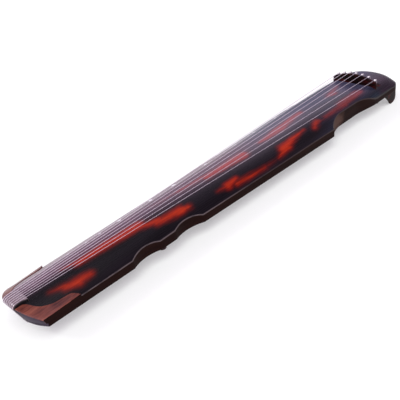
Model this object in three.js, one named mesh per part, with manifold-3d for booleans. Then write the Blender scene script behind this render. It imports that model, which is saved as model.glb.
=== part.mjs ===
// Guqin: a long seven-string zither that stands on two feet and two peg guards.
// Lengths are millimetres. X runs from the tail to the head, Y from the player to the far side, where the
// position marks lie, and Z is up. The pieces are placed from the tail end, with Z zero at the underside of the
// bottom board, and the outer group then moves them so that the origin is under the middle, on the table.

import * as THREE from "three";
import { mergeVertices } from "three/addons/utils/BufferGeometryUtils.js";
import Module from "manifold-3d";

const wasm = await Module();
wasm.setup();

// Lengths of the whole instrument
const stringLength = 1120;
const tailReach = 14;
const foreheadLength = 120.8;
const standHeight = 32;
const fitGap = 0.3;
const overrun = 20;

// Strings, from the thickest on the far side to the thinnest in front of the player; at the tail their middle
// lies a little nearer the player
const stringDiameters = [1.5, 1.35, 1.2, 1.05, 0.95, 0.85, 0.75];
const stringSides = 6;
const bridgeSpacing = 20.5;
const tailSpacing = 6.2;
const tailCentre = -3.2;
const middleString = (stringDiameters.length - 1) / 2;

// Half widths of the outline, each at its own place along the strings; the head reaches a side strip past
// its outer strings
const tailHalf = 72.3;
const lowerWaistHalf = 75;
const landHalf = 73.9;
const upperWaistHalf = 79.4;
const shoulderHalf = 94.2;
const neckHalf = 71.6;
const headSide = 20.7;
const headHalf = middleString * bridgeSpacing + headSide;

// Places along the strings, as shares of the string length from the tail gum's crest
const waistShares = { start: 0.198, landStart: 0.266, landEnd: 0.304, end: 0.375 };
const shoulderShares = { corner: 0.793, neckStart: 0.843, neckEnd: 0.908, headStart: 0.99 };

// Outline curves
const lowerScallopDepth = 8.6;
const upperScallopDepth = 8.9;
const tailRound = 22.8;
const tailEndX = 7.8;
const tailLean = 0.3;
const headCorner = 46;
const headFullness = 2.8;
const neckCurve = { roundShare: 0.45, sweepShare: 0.55, sweepPower: 1.5 };

// Boards
const bottomThick = 10;
const soundboardThick = 13;
const rimWall = 12;
const solidTail = 62;
const solidHead = 58;

// Arch of the soundboard above the underside
const tailCrown = 45.2;
const bodyCrown = 50;
const neckCrown = 46.5;
const headCrown = 43.8;
const foreheadCrown = 42.8;
const brinkCrown = 40.6;
const noseCrown = 32.5;
const endCrown = 16;
const bodyRim = 20.8;
const headRim = 15;
const endRim = 10.5;

// Stations worked out from the sizes above
const bridgeX = tailReach + stringLength;
const headEndX = bridgeX + foreheadLength;
const alongStrings = (share) => tailReach + stringLength * share;
const bridgeSide = (index) => (middleString - index) * bridgeSpacing;
const tailSide = (index) => tailCentre + (middleString - index) * tailSpacing;

const lacquer = new THREE.MeshStandardMaterial({ color: 0x1b191e, roughness: 0.28, metalness: 0 });
const blackwood = new THREE.MeshStandardMaterial({ color: 0x2a1a1b, roughness: 0.35, metalness: 0 });
const rosewood = new THREE.MeshStandardMaterial({ color: 0x96553f, roughness: 0.42, metalness: 0 });
const softwood = new THREE.MeshStandardMaterial({ color: 0xb98d5e, roughness: 0.7, metalness: 0 });
const pearl = new THREE.MeshStandardMaterial({ color: 0xe6e2dc, roughness: 0.25, metalness: 0 });
const stringSilk = new THREE.MeshStandardMaterial({ color: 0xb9b3c4, roughness: 0.45, metalness: 0 });
const cordSilk = new THREE.MeshStandardMaterial({ color: 0xeeeae4, roughness: 0.8, metalness: 0 });

const instrument = new THREE.Group();

// Turns a closed geometry into a solid that can be cut and joined
function solidOf(geometry) {
  const bare = geometry.clone();
  bare.deleteAttribute("normal");
  bare.deleteAttribute("uv");
  const merged = mergeVertices(bare);
  return new wasm.Manifold(
    new wasm.Mesh({
      numProp: 3,
      vertProperties: merged.attributes.position.array,
      triVerts: merged.index.array,
    }),
  );
}

function geometryOf(solid) {
  const cut = solid.getMesh();
  const geometry = new THREE.BufferGeometry();
  geometry.setAttribute("position", new THREE.BufferAttribute(new Float32Array(cut.vertProperties), 3));
  geometry.setIndex(new THREE.BufferAttribute(new Uint32Array(cut.triVerts), 1));
  return geometry;
}

function place(name, solid, material) {
  const geometry = geometryOf(solid);
  geometry.computeVertexNormals();
  const piece = new THREE.Mesh(geometry, material);
  piece.name = name;
  instrument.add(piece);
  return piece;
}

// A closed geometry from triangles that share numbered points
function closedGeometry(points, triangles) {
  const geometry = new THREE.BufferGeometry();
  const places = points.flatMap((point) => [point.x, point.y, point.z]);
  geometry.setAttribute("position", new THREE.Float32BufferAttribute(places, 3));
  geometry.setIndex(triangles);
  return geometry;
}

// Joins rings of equal count into a closed skin, with a flat fan over the first and the last ring
function skin(rings) {
  const count = rings[0].length;
  const last = (rings.length - 1) * count;
  const triangles = [];
  for (let ring = 0; ring < rings.length - 1; ring += 1) {
    for (let step = 0; step < count; step += 1) {
      const here = ring * count + step;
      const next = ring * count + ((step + 1) % count);
      triangles.push(here, next, next + count, here, next + count, here + count);
    }
  }
  for (let step = 1; step < count - 1; step += 1) {
    triangles.push(0, step + 1, step);
    triangles.push(last, last + step, last + step + 1);
  }
  return closedGeometry(rings.flat(), triangles);
}

function boxBetween(low, high) {
  const size = new THREE.Vector3().subVectors(high, low);
  const middle = new THREE.Vector3().addVectors(high, low).multiplyScalar(0.5);
  return solidOf(new THREE.BoxGeometry(size.x, size.y, size.z).translate(middle.x, middle.y, middle.z));
}

function boxAcross(startX, endX, half, bottom, top) {
  return boxBetween(new THREE.Vector3(startX, -half, bottom), new THREE.Vector3(endX, half, top));
}

// A plan shape raised between two heights
function raised(shape, bottom, top) {
  const block = new THREE.ExtrudeGeometry(shape, { depth: top - bottom, bevelEnabled: false, steps: 1 });
  return block.translate(0, 0, bottom);
}

// A side profile in X and Z, run across the instrument
function runAcross(profile, fromY, toY) {
  const shape = new THREE.Shape(profile);
  const block = new THREE.ExtrudeGeometry(shape, { depth: toY - fromY, bevelEnabled: false, steps: 1 });
  return solidOf(block.rotateX(Math.PI / 2).translate(0, toY, 0));
}

// A turned piece on an upright axis, from a profile of radius and height
function turned(profile, sides) {
  const points = profile.map(([radius, height]) => new THREE.Vector2(radius, height));
  return new THREE.LatheGeometry(points, sides).rotateX(Math.PI / 2);
}

function uprightPin(x, y, radius, bottom, top, sides) {
  const pin = turned([[0, bottom], [radius, bottom], [radius, top], [0, top]], sides);
  return solidOf(pin.translate(x, y, 0));
}

// A round tube along a route of points, with rings that never twist against each other
function tube(route, radius, sides) {
  const rings = [];
  let across = new THREE.Vector3(0, 1, 0);
  route.forEach((point, index) => {
    const before = route[Math.max(index - 1, 0)];
    const after = route[Math.min(index + 1, route.length - 1)];
    const ahead = new THREE.Vector3().subVectors(after, before).normalize();
    across = across.clone().addScaledVector(ahead, -across.dot(ahead)).normalize();
    const up = new THREE.Vector3().crossVectors(ahead, across);
    const ring = [];
    for (let side = 0; side < sides; side += 1) {
      const turn = (side / sides) * 2 * Math.PI;
      ring.push(
        point
          .clone()
          .addScaledVector(across, radius * Math.cos(turn))
          .addScaledVector(up, radius * Math.sin(turn)),
      );
    }
    rings.push(ring);
  });
  return skin(rings);
}

// A smooth value through stations, by a cubic whose slope at a station follows its two neighbours
function through(stations, key, x) {
  const last = stations.length - 2;
  let index = stations.findIndex((station) => station.x > x) - 1;
  index = index < 0 ? (x <= stations[0].x ? 0 : last) : index;
  const from = stations[index];
  const to = stations[index + 1];
  const before = stations[Math.max(index - 1, 0)];
  const after = stations[Math.min(index + 2, stations.length - 1)];
  const span = to.x - from.x;
  const share = Math.min(Math.max((x - from.x) / span, 0), 1);
  const startSlope = ((to[key] - before[key]) / (to.x - before.x)) * span;
  const endSlope = ((after[key] - from[key]) / (after.x - from.x)) * span;
  const square = share * share;
  const cube = square * share;
  return (
    (2 * cube - 3 * square + 1) * from[key] +
    (cube - 2 * square + share) * startSlope +
    (3 * square - 2 * cube) * to[key] +
    (cube - square) * endSlope
  );
}

// Soundboard arch: half width, crown height, rim height and fullness along the instrument
const archShares = { tailRise: 0.09, belly: 0.6 };
const foreheadShares = { slope: 0.5, brink: 0.81, noseTurn: 0.92 };
const archStations = [
  { x: tailEndX - overrun, half: tailHalf, crown: tailCrown, rim: bodyRim, fullness: 1.85 },
  { x: alongStrings(0), half: tailHalf, crown: tailCrown, rim: bodyRim, fullness: 1.85 },
  {
    x: alongStrings(archShares.tailRise),
    half: tailHalf,
    crown: (tailCrown + bodyCrown) / 2,
    rim: bodyRim,
    fullness: 1.88,
  },
  { x: alongStrings(waistShares.start), half: lowerWaistHalf, crown: bodyCrown, rim: bodyRim, fullness: 1.9 },
  { x: alongStrings(waistShares.end), half: upperWaistHalf, crown: bodyCrown, rim: bodyRim, fullness: 2 },
  {
    x: alongStrings(archShares.belly),
    half: (upperWaistHalf + shoulderHalf) / 2,
    crown: bodyCrown,
    rim: bodyRim,
    fullness: 2.3,
  },
  { x: alongStrings(shoulderShares.corner), half: shoulderHalf, crown: bodyCrown, rim: bodyRim, fullness: 3.2 },
  {
    x: alongStrings(shoulderShares.neckEnd),
    half: (shoulderHalf + headHalf) / 2,
    crown: neckCrown,
    rim: (bodyRim + headRim) / 2,
    fullness: 5.5,
  },
  { x: alongStrings(shoulderShares.headStart), half: headHalf, crown: headCrown, rim: headRim, fullness: 10 },
  {
    x: bridgeX + foreheadLength * foreheadShares.slope,
    half: headHalf,
    crown: foreheadCrown,
    rim: headRim,
    fullness: 7,
  },
  {
    x: bridgeX + foreheadLength * foreheadShares.brink,
    half: headHalf,
    crown: brinkCrown,
    rim: (headRim + endRim) / 2,
    fullness: 3,
  },
  {
    x: bridgeX + foreheadLength * foreheadShares.noseTurn,
    half: headHalf,
    crown: noseCrown,
    rim: endRim,
    fullness: 1.7,
  },
  { x: headEndX, half: headHalf, crown: endCrown, rim: endRim, fullness: 1.7 },
  { x: headEndX + overrun, half: headHalf, crown: endRim, rim: endRim, fullness: 1.7 },
];

function topAt(x, y) {
  const half = through(archStations, "half", x);
  const crown = through(archStations, "crown", x);
  const rim = through(archStations, "rim", x);
  const fullness = through(archStations, "fullness", x);
  const spread = Math.min(Math.abs(y) / half, 1);
  return rim + (crown - rim) * (1 - spread ** fullness);
}

// Rows across the arch: one at each station, and evenly between them
function archRows(longestStep) {
  const rows = [];
  archStations.slice(1).forEach((station, index) => {
    const from = archStations[index].x;
    const span = station.x - from;
    const count = Math.ceil(span / longestStep);
    for (let step = 0; step < count; step += 1) {
      rows.push(from + (span * step) / count);
    }
  });
  rows.push(archStations[archStations.length - 1].x);
  return rows;
}

// Everything below a surface over the plan; the columns crowd towards the rims, where it bends most
const rowStep = { fine: 60, plain: 110, crown: 18 };
const fineGrid = { rows: archRows(rowStep.fine), acrossSteps: 22 };
const plainGrid = { rows: archRows(rowStep.plain), acrossSteps: 10 };

function under(heightAt, grid) {
  const { rows, acrossSteps } = grid;
  const width = acrossSteps + 3;
  const surface = rows.flatMap((x) => {
    const half = through(archStations, "half", x);
    return Array.from({ length: width }, (_, place) => {
      const column = place - 1;
      const outside = column < 0 || column > acrossSteps;
      const turn = (column / acrossSteps - 0.5) * Math.PI;
      const y = outside ? Math.sign(column) * (half + overrun) : half * Math.sin(turn);
      return new THREE.Vector3(x, y, heightAt(x, y));
    });
  });
  const layer = surface.length;
  const floor = surface.map((point) => new THREE.Vector3(point.x, point.y, -overrun));
  const triangles = [];
  const quad = (a, b, c, d) => triangles.push(a, b, c, a, c, d);
  for (let row = 0; row < rows.length - 1; row += 1) {
    const left = row * width;
    const right = left + width - 1;
    for (let here = left; here < right; here += 1) {
      quad(here, here + width, here + width + 1, here + 1);
      quad(here + layer, here + layer + 1, here + layer + width + 1, here + layer + width);
    }
    quad(left + layer, left + layer + width, left + width, left);
    quad(right, right + width, right + layer + width, right + layer);
  }
  for (let column = 0; column < width - 1; column += 1) {
    const end = (rows.length - 1) * width + column;
    quad(column, column + 1, column + 1 + layer, column + layer);
    quad(end + layer, end + layer + 1, end + 1, end);
  }
  return solidOf(closedGeometry([...surface, ...floor], triangles));
}

function underArch(lift, grid = fineGrid) {
  return under((x, y) => topAt(x, y) + lift, grid);
}

// Adds an arc from the last point to the end; a negative bulge bites into the board
function addArc(points, end, bulge, steps) {
  const start = points[points.length - 1];
  const chord = new THREE.Vector2().subVectors(end, start);
  const length = chord.length();
  const ahead = chord.clone().normalize();
  const outward = new THREE.Vector2(-ahead.y, ahead.x);
  const radius = (length * length * 0.25 + bulge * bulge) / (2 * Math.abs(bulge));
  const side = Math.sign(bulge);
  const centre = new THREE.Vector2()
    .addVectors(start, end)
    .multiplyScalar(0.5)
    .addScaledVector(outward, bulge - side * radius);
  const reach = Math.asin(length / (2 * radius));
  for (let step = 1; step <= steps; step += 1) {
    const turn = reach * ((2 * step) / steps - 1);
    points.push(
      centre
        .clone()
        .addScaledVector(outward, side * radius * Math.cos(turn))
        .addScaledVector(ahead, radius * Math.sin(turn)),
    );
  }
}

// Half of the outline, from the middle of the tail end to the middle of the head end
const tailSteps = 9;
const scallopSteps = 9;
const neckSteps = 9;
const headSteps = 12;

function addTailEnd(points) {
  const radius = (tailHalf * tailHalf + tailRound * tailRound) / (2 * tailRound);
  for (let step = 0; step <= tailSteps; step += 1) {
    const y = (tailHalf * step) / tailSteps;
    points.push(new THREE.Vector2(tailEndX + radius - Math.sqrt(radius * radius - y * y), y));
  }
}

function addNeckBite(points) {
  const startX = alongStrings(shoulderShares.corner);
  const biteLength = alongStrings(shoulderShares.neckStart) - startX;
  for (let step = 1; step <= neckSteps; step += 1) {
    const share = step / neckSteps;
    const round = 1 - Math.sqrt(1 - (1 - share) ** 2);
    const sweep = (1 - share) ** neckCurve.sweepPower;
    const fall = neckCurve.roundShare * round + neckCurve.sweepShare * sweep;
    points.push(new THREE.Vector2(startX + biteLength * share, neckHalf + (shoulderHalf - neckHalf) * fall));
  }
}

function addHeadSwell(points) {
  const startX = alongStrings(shoulderShares.neckEnd);
  const swellLength = alongStrings(shoulderShares.headStart) - startX;
  for (let step = 0; step <= neckSteps; step += 1) {
    const share = step / neckSteps;
    const rise = share * share * (3 - 2 * share);
    points.push(new THREE.Vector2(startX + swellLength * share, neckHalf + (headHalf - neckHalf) * rise));
  }
}

function addHeadEnd(points) {
  for (let step = 0; step <= headSteps; step += 1) {
    const turn = (step / headSteps) * (Math.PI / 2);
    const reach = Math.sin(turn) ** (2 / headFullness);
    const width = Math.cos(turn) ** (2 / headFullness);
    const x = headEndX - headCorner + headCorner * reach;
    points.push(new THREE.Vector2(x, step === headSteps ? 0 : headHalf * width));
  }
}

function halfOutline() {
  const points = [];
  const at = (share, half) => new THREE.Vector2(alongStrings(share), half);
  addTailEnd(points);
  points.push(at(waistShares.start, lowerWaistHalf));
  addArc(points, at(waistShares.landStart, landHalf), -lowerScallopDepth, scallopSteps);
  points.push(at((waistShares.landStart + waistShares.landEnd) / 2, landHalf));
  points.push(at(waistShares.landEnd, landHalf));
  addArc(points, at(waistShares.end, upperWaistHalf), -upperScallopDepth, scallopSteps);
  points.push(at(shoulderShares.corner, shoulderHalf));
  addNeckBite(points);
  addHeadSwell(points);
  addHeadEnd(points);
  return points;
}

const mirrored = (points) => points.map((point) => new THREE.Vector2(point.x, -point.y)).reverse();

// The whole outline between two heights; the tail end leans out as it rises
function outlineBlock(bottom, top, lean) {
  const half = halfOutline();
  const block = raised(new THREE.Shape([...half, ...mirrored(half.slice(1, -1))]), bottom, top);
  const tailCornerX = half[tailSteps].x;
  const position = block.attributes.position;
  for (let index = 0; index < position.count; index += 1) {
    const x = position.getX(index);
    if (x <= tailCornerX + fitGap) {
      position.setX(index, x - lean * position.getZ(index));
    }
  }
  return solidOf(block);
}

// Rounded oblong in plan on the centre line, such as a sound hole or the peg pool
function oblongBlock(plan, bottom, top) {
  const { x, alongHalf, acrossHalf, corner } = plan;
  const shape = new THREE.Shape();
  const left = x - alongHalf;
  const right = x + alongHalf;
  shape.moveTo(left + corner, -acrossHalf);
  shape.lineTo(right - corner, -acrossHalf);
  shape.absarc(right - corner, corner - acrossHalf, corner, -Math.PI / 2, 0, false);
  shape.lineTo(right, acrossHalf - corner);
  shape.absarc(right - corner, acrossHalf - corner, corner, 0, Math.PI / 2, false);
  shape.lineTo(left + corner, acrossHalf);
  shape.absarc(left + corner, acrossHalf - corner, corner, Math.PI / 2, Math.PI, false);
  shape.lineTo(left, corner - acrossHalf);
  shape.absarc(left + corner, corner - acrossHalf, corner, Math.PI, Math.PI * 1.5, false);
  return solidOf(raised(new THREE.Shape(shape.getPoints(plan.steps)), bottom, top));
}

// Openings in the underside, each sound hole with a pad on the ceiling above it
const poolShares = { dragon: 0.644, phoenix: 0.18 };
const dragonPool = {
  x: alongStrings(poolShares.dragon),
  alongHalf: 105,
  acrossHalf: 13.5,
  corner: 13,
  steps: 5,
};
const phoenixPond = {
  x: alongStrings(poolShares.phoenix),
  alongHalf: 53,
  acrossHalf: 13.5,
  corner: 13,
  steps: 5,
};
const pad = { depth: 4.5, margin: 9 };

// Bridge, string eyes, tuning pegs and peg pool
const bridge = {
  crest: 69.4,
  archDepth: 11.4,
  shoulder: 3.5,
  round: 7,
  endHeight: 47,
  topThick: 8,
  footLean: 2.8,
  edge: 1.8,
  acrossSteps: 12,
};
const bridgeRoundStart = bridgeSide(0) + bridge.shoulder;
const bridgeHalf = bridgeRoundStart + bridge.round;
const eyeStrip = { length: 17, thick: 1.7, setBack: 2.5, eye: 2.3, eyeSides: 8 };
const eyeStripHalf = bridgeHalf - eyeStrip.setBack;
const eyeX = bridgeX + bridge.topThick + bridge.footLean + fitGap + eyeStrip.length / 2;
const peg = {
  length: 29,
  headRadius: 6,
  head: 3,
  neckRadius: 4,
  neck: 4,
  bodyRadius: 5.4,
  endRadius: 6.2,
  end: 4,
  tipRadius: 4,
  tip: 1.6,
  bore: 2.1,
  boreDepth: 14,
  sides: 8,
};
const poolRoom = { along: 9.3, across: 2.3 };
const pool = {
  x: eyeX,
  alongHalf: peg.endRadius + poolRoom.along,
  acrossHalf: bridgeSide(0) + peg.endRadius + poolRoom.across,
  corner: 7,
  steps: 3,
  roof: 14,
};

function crestAt(y) {
  const outer = bridgeSide(0);
  const reach = Math.min(Math.abs(y), bridgeRoundStart);
  const height = bridge.crest - bridge.archDepth * (reach / outer) ** 2;
  const past = Math.min(Math.max((Math.abs(y) - bridgeRoundStart) / bridge.round, 0), 1);
  return bridge.endHeight + (height - bridge.endHeight) * Math.sqrt(1 - past * past);
}

// Tail gum and lower gum, with the faces that the strings turn down past
const gum = {
  half: 21.5,
  back: 28,
  backTop: 46.2,
  crest: 50,
  shoulder: 10,
  shoulderDepth: 0.7,
  noseRadius: 8,
  noseX: -4.6,
  seamX: 6.2,
  seat: 36,
  apron: 16,
  ease: 3,
  easeSteps: 4,
};
const lowerGum = { back: 44, faceX: 9.8, depth: 3, noseRadius: 3, ease: 6 };
const noseSteps = 4;
const seam = bottomThick + fitGap;

function gumNose() {
  const startX = tailReach - gum.shoulder;
  const sideZ = gum.crest - gum.shoulderDepth - gum.noseRadius;
  return Array.from({ length: noseSteps + 1 }, (_, step) => {
    const turn = (step / noseSteps) * (Math.PI / 2);
    const x = startX - (startX - gum.noseX) * Math.sin(turn);
    return new THREE.Vector2(x, sideZ + gum.noseRadius * Math.cos(turn));
  });
}

function lowerNose() {
  return Array.from({ length: noseSteps + 1 }, (_, step) => {
    const turn = (step / noseSteps) * (Math.PI / 2);
    const x = lowerGum.faceX + lowerGum.noseRadius * (1 - Math.cos(turn));
    return new THREE.Vector2(x, -lowerGum.depth * Math.sin(turn));
  });
}

// Room for a gum between its two ends, with a clearance
function gumRoom(startX, endX, bottom, top) {
  return boxBetween(
    new THREE.Vector3(startX, tailCentre - gum.half - fitGap, bottom),
    new THREE.Vector3(endX, tailCentre + gum.half + fitGap, top),
  );
}

// Crown corner in plan: a broad end beside the gum and an arm along the side, joined by a smooth inner curve;
// its outer edge rises from the board's rim towards the arm's tip
const crown = {
  thick: 9.5,
  proud: 1,
  lip: 3.1,
  lipStart: 42,
  lipPower: 6,
  inner: 14,
  bendX: 28,
  bendInset: 31.3,
  armStart: 47,
  armStartInset: 18.6,
  armMiddle: 74,
  armMiddleInset: 14,
  armEnd: 97,
  armEndInset: 11.5,
  tipStart: 105.6,
  tipInset: 3.8,
  tip: 109,
  steps: 16,
};
const crownGrid = {
  rows: archRows(rowStep.crown).filter((x) => x < crown.tip + 2 * overrun),
  acrossSteps: 18,
};

function crownTop(x, y) {
  const half = through(archStations, "half", x);
  const rise = Math.min(Math.max((x - crown.lipStart) / (crown.tip - crown.lipStart), 0), 1);
  const lip = crown.lip * rise * Math.min(Math.abs(y) / half, 1) ** crown.lipPower;
  return topAt(x, y) + crown.proud + lip;
}

function crownPlan(side, grow) {
  const gumSide = gum.half + side * tailCentre + 2 * fitGap;
  const curve = new THREE.SplineCurve([
    new THREE.Vector2(crown.inner, gumSide),
    new THREE.Vector2(crown.bendX, tailHalf - crown.bendInset),
    new THREE.Vector2(crown.armStart, tailHalf - crown.armStartInset),
    new THREE.Vector2(crown.armMiddle, tailHalf - crown.armMiddleInset),
    new THREE.Vector2(crown.armEnd, tailHalf - crown.armEndInset),
    new THREE.Vector2(crown.tipStart, tailHalf - crown.tipInset),
  ]);
  return [
    new THREE.Vector2(-overrun, gumSide - grow),
    ...curve.getPoints(crown.steps).map((point) => new THREE.Vector2(point.x + grow, point.y - grow)),
    new THREE.Vector2(crown.tip + grow, tailHalf),
    new THREE.Vector2(crown.tip + grow, tailHalf + overrun),
    new THREE.Vector2(-overrun, tailHalf + overrun),
  ];
}

function crownBlock(side, grow) {
  const points = crownPlan(side, grow).map((point) => new THREE.Vector2(point.x, side * point.y));
  return solidOf(raised(new THREE.Shape(points), 0, bodyCrown + overrun));
}

// Position marks: places as shares of the string from the bridge, and the middle mark is the largest
const markShares = [1 / 8, 1 / 6, 1 / 5, 1 / 4, 1 / 3, 2 / 5, 1 / 2, 3 / 5, 2 / 3, 3 / 4, 4 / 5, 5 / 6, 7 / 8];
const mark = {
  tailY: 29.6,
  bridgeY: 72.9,
  middleRadius: 5.6,
  endRadius: 3.6,
  thick: 1.2,
  proud: 0.12,
  sides: 14,
};

function markFrame(index) {
  const share = 1 - markShares[index];
  const x = alongStrings(share);
  const y = mark.tailY + (mark.bridgeY - mark.tailY) * share;
  const middle = (markShares.length - 1) / 2;
  const from = Math.abs(index - middle) / middle;
  const radius = mark.middleRadius + (mark.endRadius - mark.middleRadius) * from;
  const slopeX = (topAt(x + radius, y) - topAt(x - radius, y)) / (2 * radius);
  const slopeY = (topAt(x, y + radius) - topAt(x, y - radius)) / (2 * radius);
  const normal = new THREE.Vector3(-slopeX, -slopeY, 1).normalize();
  return { centre: new THREE.Vector3(x, y, topAt(x, y)), normal, radius };
}

function markDisc(index, grow, bottom, top) {
  const { centre, normal, radius } = markFrame(index);
  const disc = new THREE.CylinderGeometry(radius + grow, radius + grow, top - bottom, mark.sides);
  disc.translate(0, (top + bottom) / 2, 0);
  disc.applyQuaternion(new THREE.Quaternion().setFromUnitVectors(new THREE.Vector3(0, 1, 0), normal));
  return solidOf(disc.translate(centre.x, centre.y, centre.z));
}

// Goose feet, under the waist, with a tenon up into the bottom board
const foot = {
  side: 33,
  tenonRadius: 7,
  tenon: 8,
  collarRadius: 10.5,
  collar: 2.6,
  collarEase: 0.5,
  neckRadius: 7.2,
  flareRadius: 9.2,
  flare: 4.6,
  restRadius: 7.8,
  toe: 1.4,
  sides: 20,
};
const footShare = 0.291;
const footX = alongStrings(footShare);

// The hollow inside, with walls along the rims and solid ends
function hollow() {
  const startX = solidTail;
  const endX = bridgeX - solidHead;
  const wall = halfOutline()
    .map((point) => new THREE.Vector2(point.x, point.y - rimWall))
    .filter((point) => point.x > startX + fitGap && point.x < endX - fitGap);
  const side = [
    new THREE.Vector2(startX, wall[0].y),
    ...wall,
    new THREE.Vector2(endX, wall[wall.length - 1].y),
  ];
  const room = solidOf(raised(new THREE.Shape([...side, ...mirrored(side)]), 0, bodyCrown + overrun));
  const padFloor = underArch(-soundboardThick - pad.depth, plainGrid);
  const padded = [dragonPool, phoenixPond].reduce((left, plan) => {
    const alongHalf = plan.alongHalf + pad.margin;
    const acrossHalf = plan.acrossHalf + pad.margin;
    const post = oblongBlock({ ...plan, alongHalf, acrossHalf }, 0, bodyCrown + overrun);
    return left.subtract(post.subtract(padFloor));
  }, room);
  return padded.intersect(underArch(-soundboardThick, plainGrid));
}

function eyeHoles(board) {
  return stringDiameters.reduce((left, _, index) => {
    const eye = uprightPin(eyeX, bridgeSide(index), eyeStrip.eye, 0, bodyCrown + overrun, eyeStrip.eyeSides);
    return left.subtract(eye);
  }, board);
}

function soundboard() {
  const highest = bodyCrown + overrun;
  let board = outlineBlock(0, highest, tailLean).intersect(underArch(0));
  board = board.subtract(boxAcross(-overrun, headEndX + overrun, shoulderHalf + overrun, -overrun, seam));
  board = board.subtract(hollow());
  [1, -1].forEach((side) => {
    board = board.subtract(crownBlock(side, fitGap).subtract(underArch(-crown.thick - fitGap)));
  });
  board = board.subtract(gumRoom(-overrun, gum.back + fitGap, gum.seat - fitGap, highest));
  board = board.subtract(gumRoom(-overrun, gum.apron + fitGap, 0, gum.seat));
  board = board.subtract(oblongBlock(pool, 0, pool.roof));
  markShares.forEach((_, index) => {
    board = board.subtract(markDisc(index, fitGap, mark.proud - mark.thick - fitGap, overrun));
  });
  return eyeHoles(board);
}

function bottomBoard() {
  const highest = bottomThick + overrun;
  let board = outlineBlock(0, bottomThick, tailLean);
  [dragonPool, phoenixPond, pool].forEach((plan) => {
    board = board.subtract(oblongBlock(plan, -overrun, highest));
  });
  board = board.subtract(gumRoom(-overrun, lowerGum.back + fitGap, -overrun, highest));
  [1, -1].forEach((side) => {
    const radius = foot.tenonRadius + fitGap;
    const depth = foot.tenon + fitGap;
    board = board.subtract(uprightPin(footX, side * foot.side, radius, -overrun, depth, foot.sides));
  });
  return board;
}

place("soundboard", soundboard(), lacquer);
place("bottom_board", bottomBoard(), lacquer);

// Bridge: sections across the instrument, each with eased top edges, cut to sit on the arch
const bridgeEdge = { lowShare: 0.4, sideShare: 0.2, roundShares: [0.45, 0.75, 0.93] };

function bridgePlaces() {
  const half = bridge.acrossSteps / 2;
  const places = [bridgeHalf, -bridgeHalf];
  for (let column = -half; column <= half; column += 1) {
    places.push((bridgeRoundStart * column) / half);
  }
  bridgeEdge.roundShares.forEach((share) => {
    const y = bridgeRoundStart + bridge.round * share;
    places.push(y, -y);
  });
  return places.sort((first, second) => first - second);
}

function bridgeBlock() {
  const { edge, topThick, footLean } = bridge;
  const low = edge * bridgeEdge.sideShare;
  const side = edge * bridgeEdge.lowShare;
  const rings = bridgePlaces().map((y) => {
    const top = crestAt(y);
    const section = [
      [-footLean, headRim],
      [0, top - edge],
      [side, top - low],
      [edge, top],
      [topThick - edge, top],
      [topThick - side, top - low],
      [topThick, top - edge],
      [topThick + footLean, headRim],
    ];
    return section.map(([x, z]) => new THREE.Vector3(bridgeX + x, y, z));
  });
  return solidOf(skin(rings)).subtract(underArch(fitGap));
}

place("bridge", bridgeBlock(), blackwood);

// Strip behind the bridge with the seven string eyes
function eyeStripBlock() {
  const startX = eyeX - eyeStrip.length / 2;
  const strip = boxAcross(startX, startX + eyeStrip.length, eyeStripHalf, headRim, bodyCrown + overrun);
  return eyeHoles(strip.intersect(underArch(fitGap + eyeStrip.thick)).subtract(underArch(fitGap)));
}

place("eye_strip", eyeStripBlock(), blackwood);

// Tail gum: a slab on top with an apron down the end face, in one piece
function tailGumBlock() {
  const profile = [
    new THREE.Vector2(gum.back, gum.seat),
    new THREE.Vector2(gum.back, gum.backTop),
    new THREE.Vector2(tailReach, gum.crest),
    ...gumNose(),
    new THREE.Vector2(gum.seamX, seam),
    new THREE.Vector2(gum.apron, seam),
    new THREE.Vector2(gum.apron, gum.seat),
  ];
  return runAcross(profile, tailCentre - gum.half, tailCentre + gum.half).intersect(easedAcross());
}

// The room inside the gum's two eased upper edges
function easedAcross() {
  const { half, ease, crest } = gum;
  const shape = new THREE.Shape();
  shape.moveTo(-half, 0);
  shape.lineTo(half, 0);
  shape.lineTo(half, crest - ease);
  shape.absarc(half - ease, crest - ease, ease, 0, Math.PI / 2, false);
  shape.absarc(ease - half, crest - ease, ease, Math.PI / 2, Math.PI, false);
  const section = new THREE.Shape(shape.getPoints(gum.easeSteps));
  const block = raised(section, gum.noseX - overrun, gum.back + overrun);
  return solidOf(block.rotateX(Math.PI / 2).rotateZ(Math.PI / 2).translate(0, tailCentre, 0));
}

function lowerGumBlock() {
  const profile = [
    new THREE.Vector2(lowerGum.back, bottomThick),
    new THREE.Vector2(gum.seamX, bottomThick),
    ...lowerNose(),
    new THREE.Vector2(lowerGum.back - lowerGum.ease, -lowerGum.depth),
    new THREE.Vector2(lowerGum.back, 0),
  ];
  return runAcross(profile, tailCentre - gum.half, tailCentre + gum.half);
}

place("tail_gum", tailGumBlock(), blackwood);
place("lower_gum", lowerGumBlock(), blackwood);

// Crown corners: inlaid at the two tail corners, slightly proud of the lacquer
[["far", 1], ["near", -1]].forEach(([name, side]) => {
  const block = crownBlock(side, 0)
    .intersect(outlineBlock(0, bodyCrown + overrun, tailLean))
    .intersect(under(crownTop, crownGrid))
    .subtract(underArch(-crown.thick));
  place(`crown_corner_${name}`, block, rosewood);
});

// Position marks
markShares.forEach((_, index) => {
  const number = String(index + 1).padStart(2, "0");
  place(`hui_${number}`, markDisc(index, 0, mark.proud - mark.thick, mark.proud), pearl);
});

// Peg guards: hooked pieces under the head's corners, with a flat toe to rest on
const guard = { start: 85, hook: 57.8, toe: 53, end: 18.8, thick: 6.5, curveSteps: 8 };
const guardShares = {
  startAlong: 0.4,
  startDown: 0.35,
  hookAlong: 0.93,
  hookDown: 0.7,
  rearAlong: 0.86,
  rearDown: 0.91,
};

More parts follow.
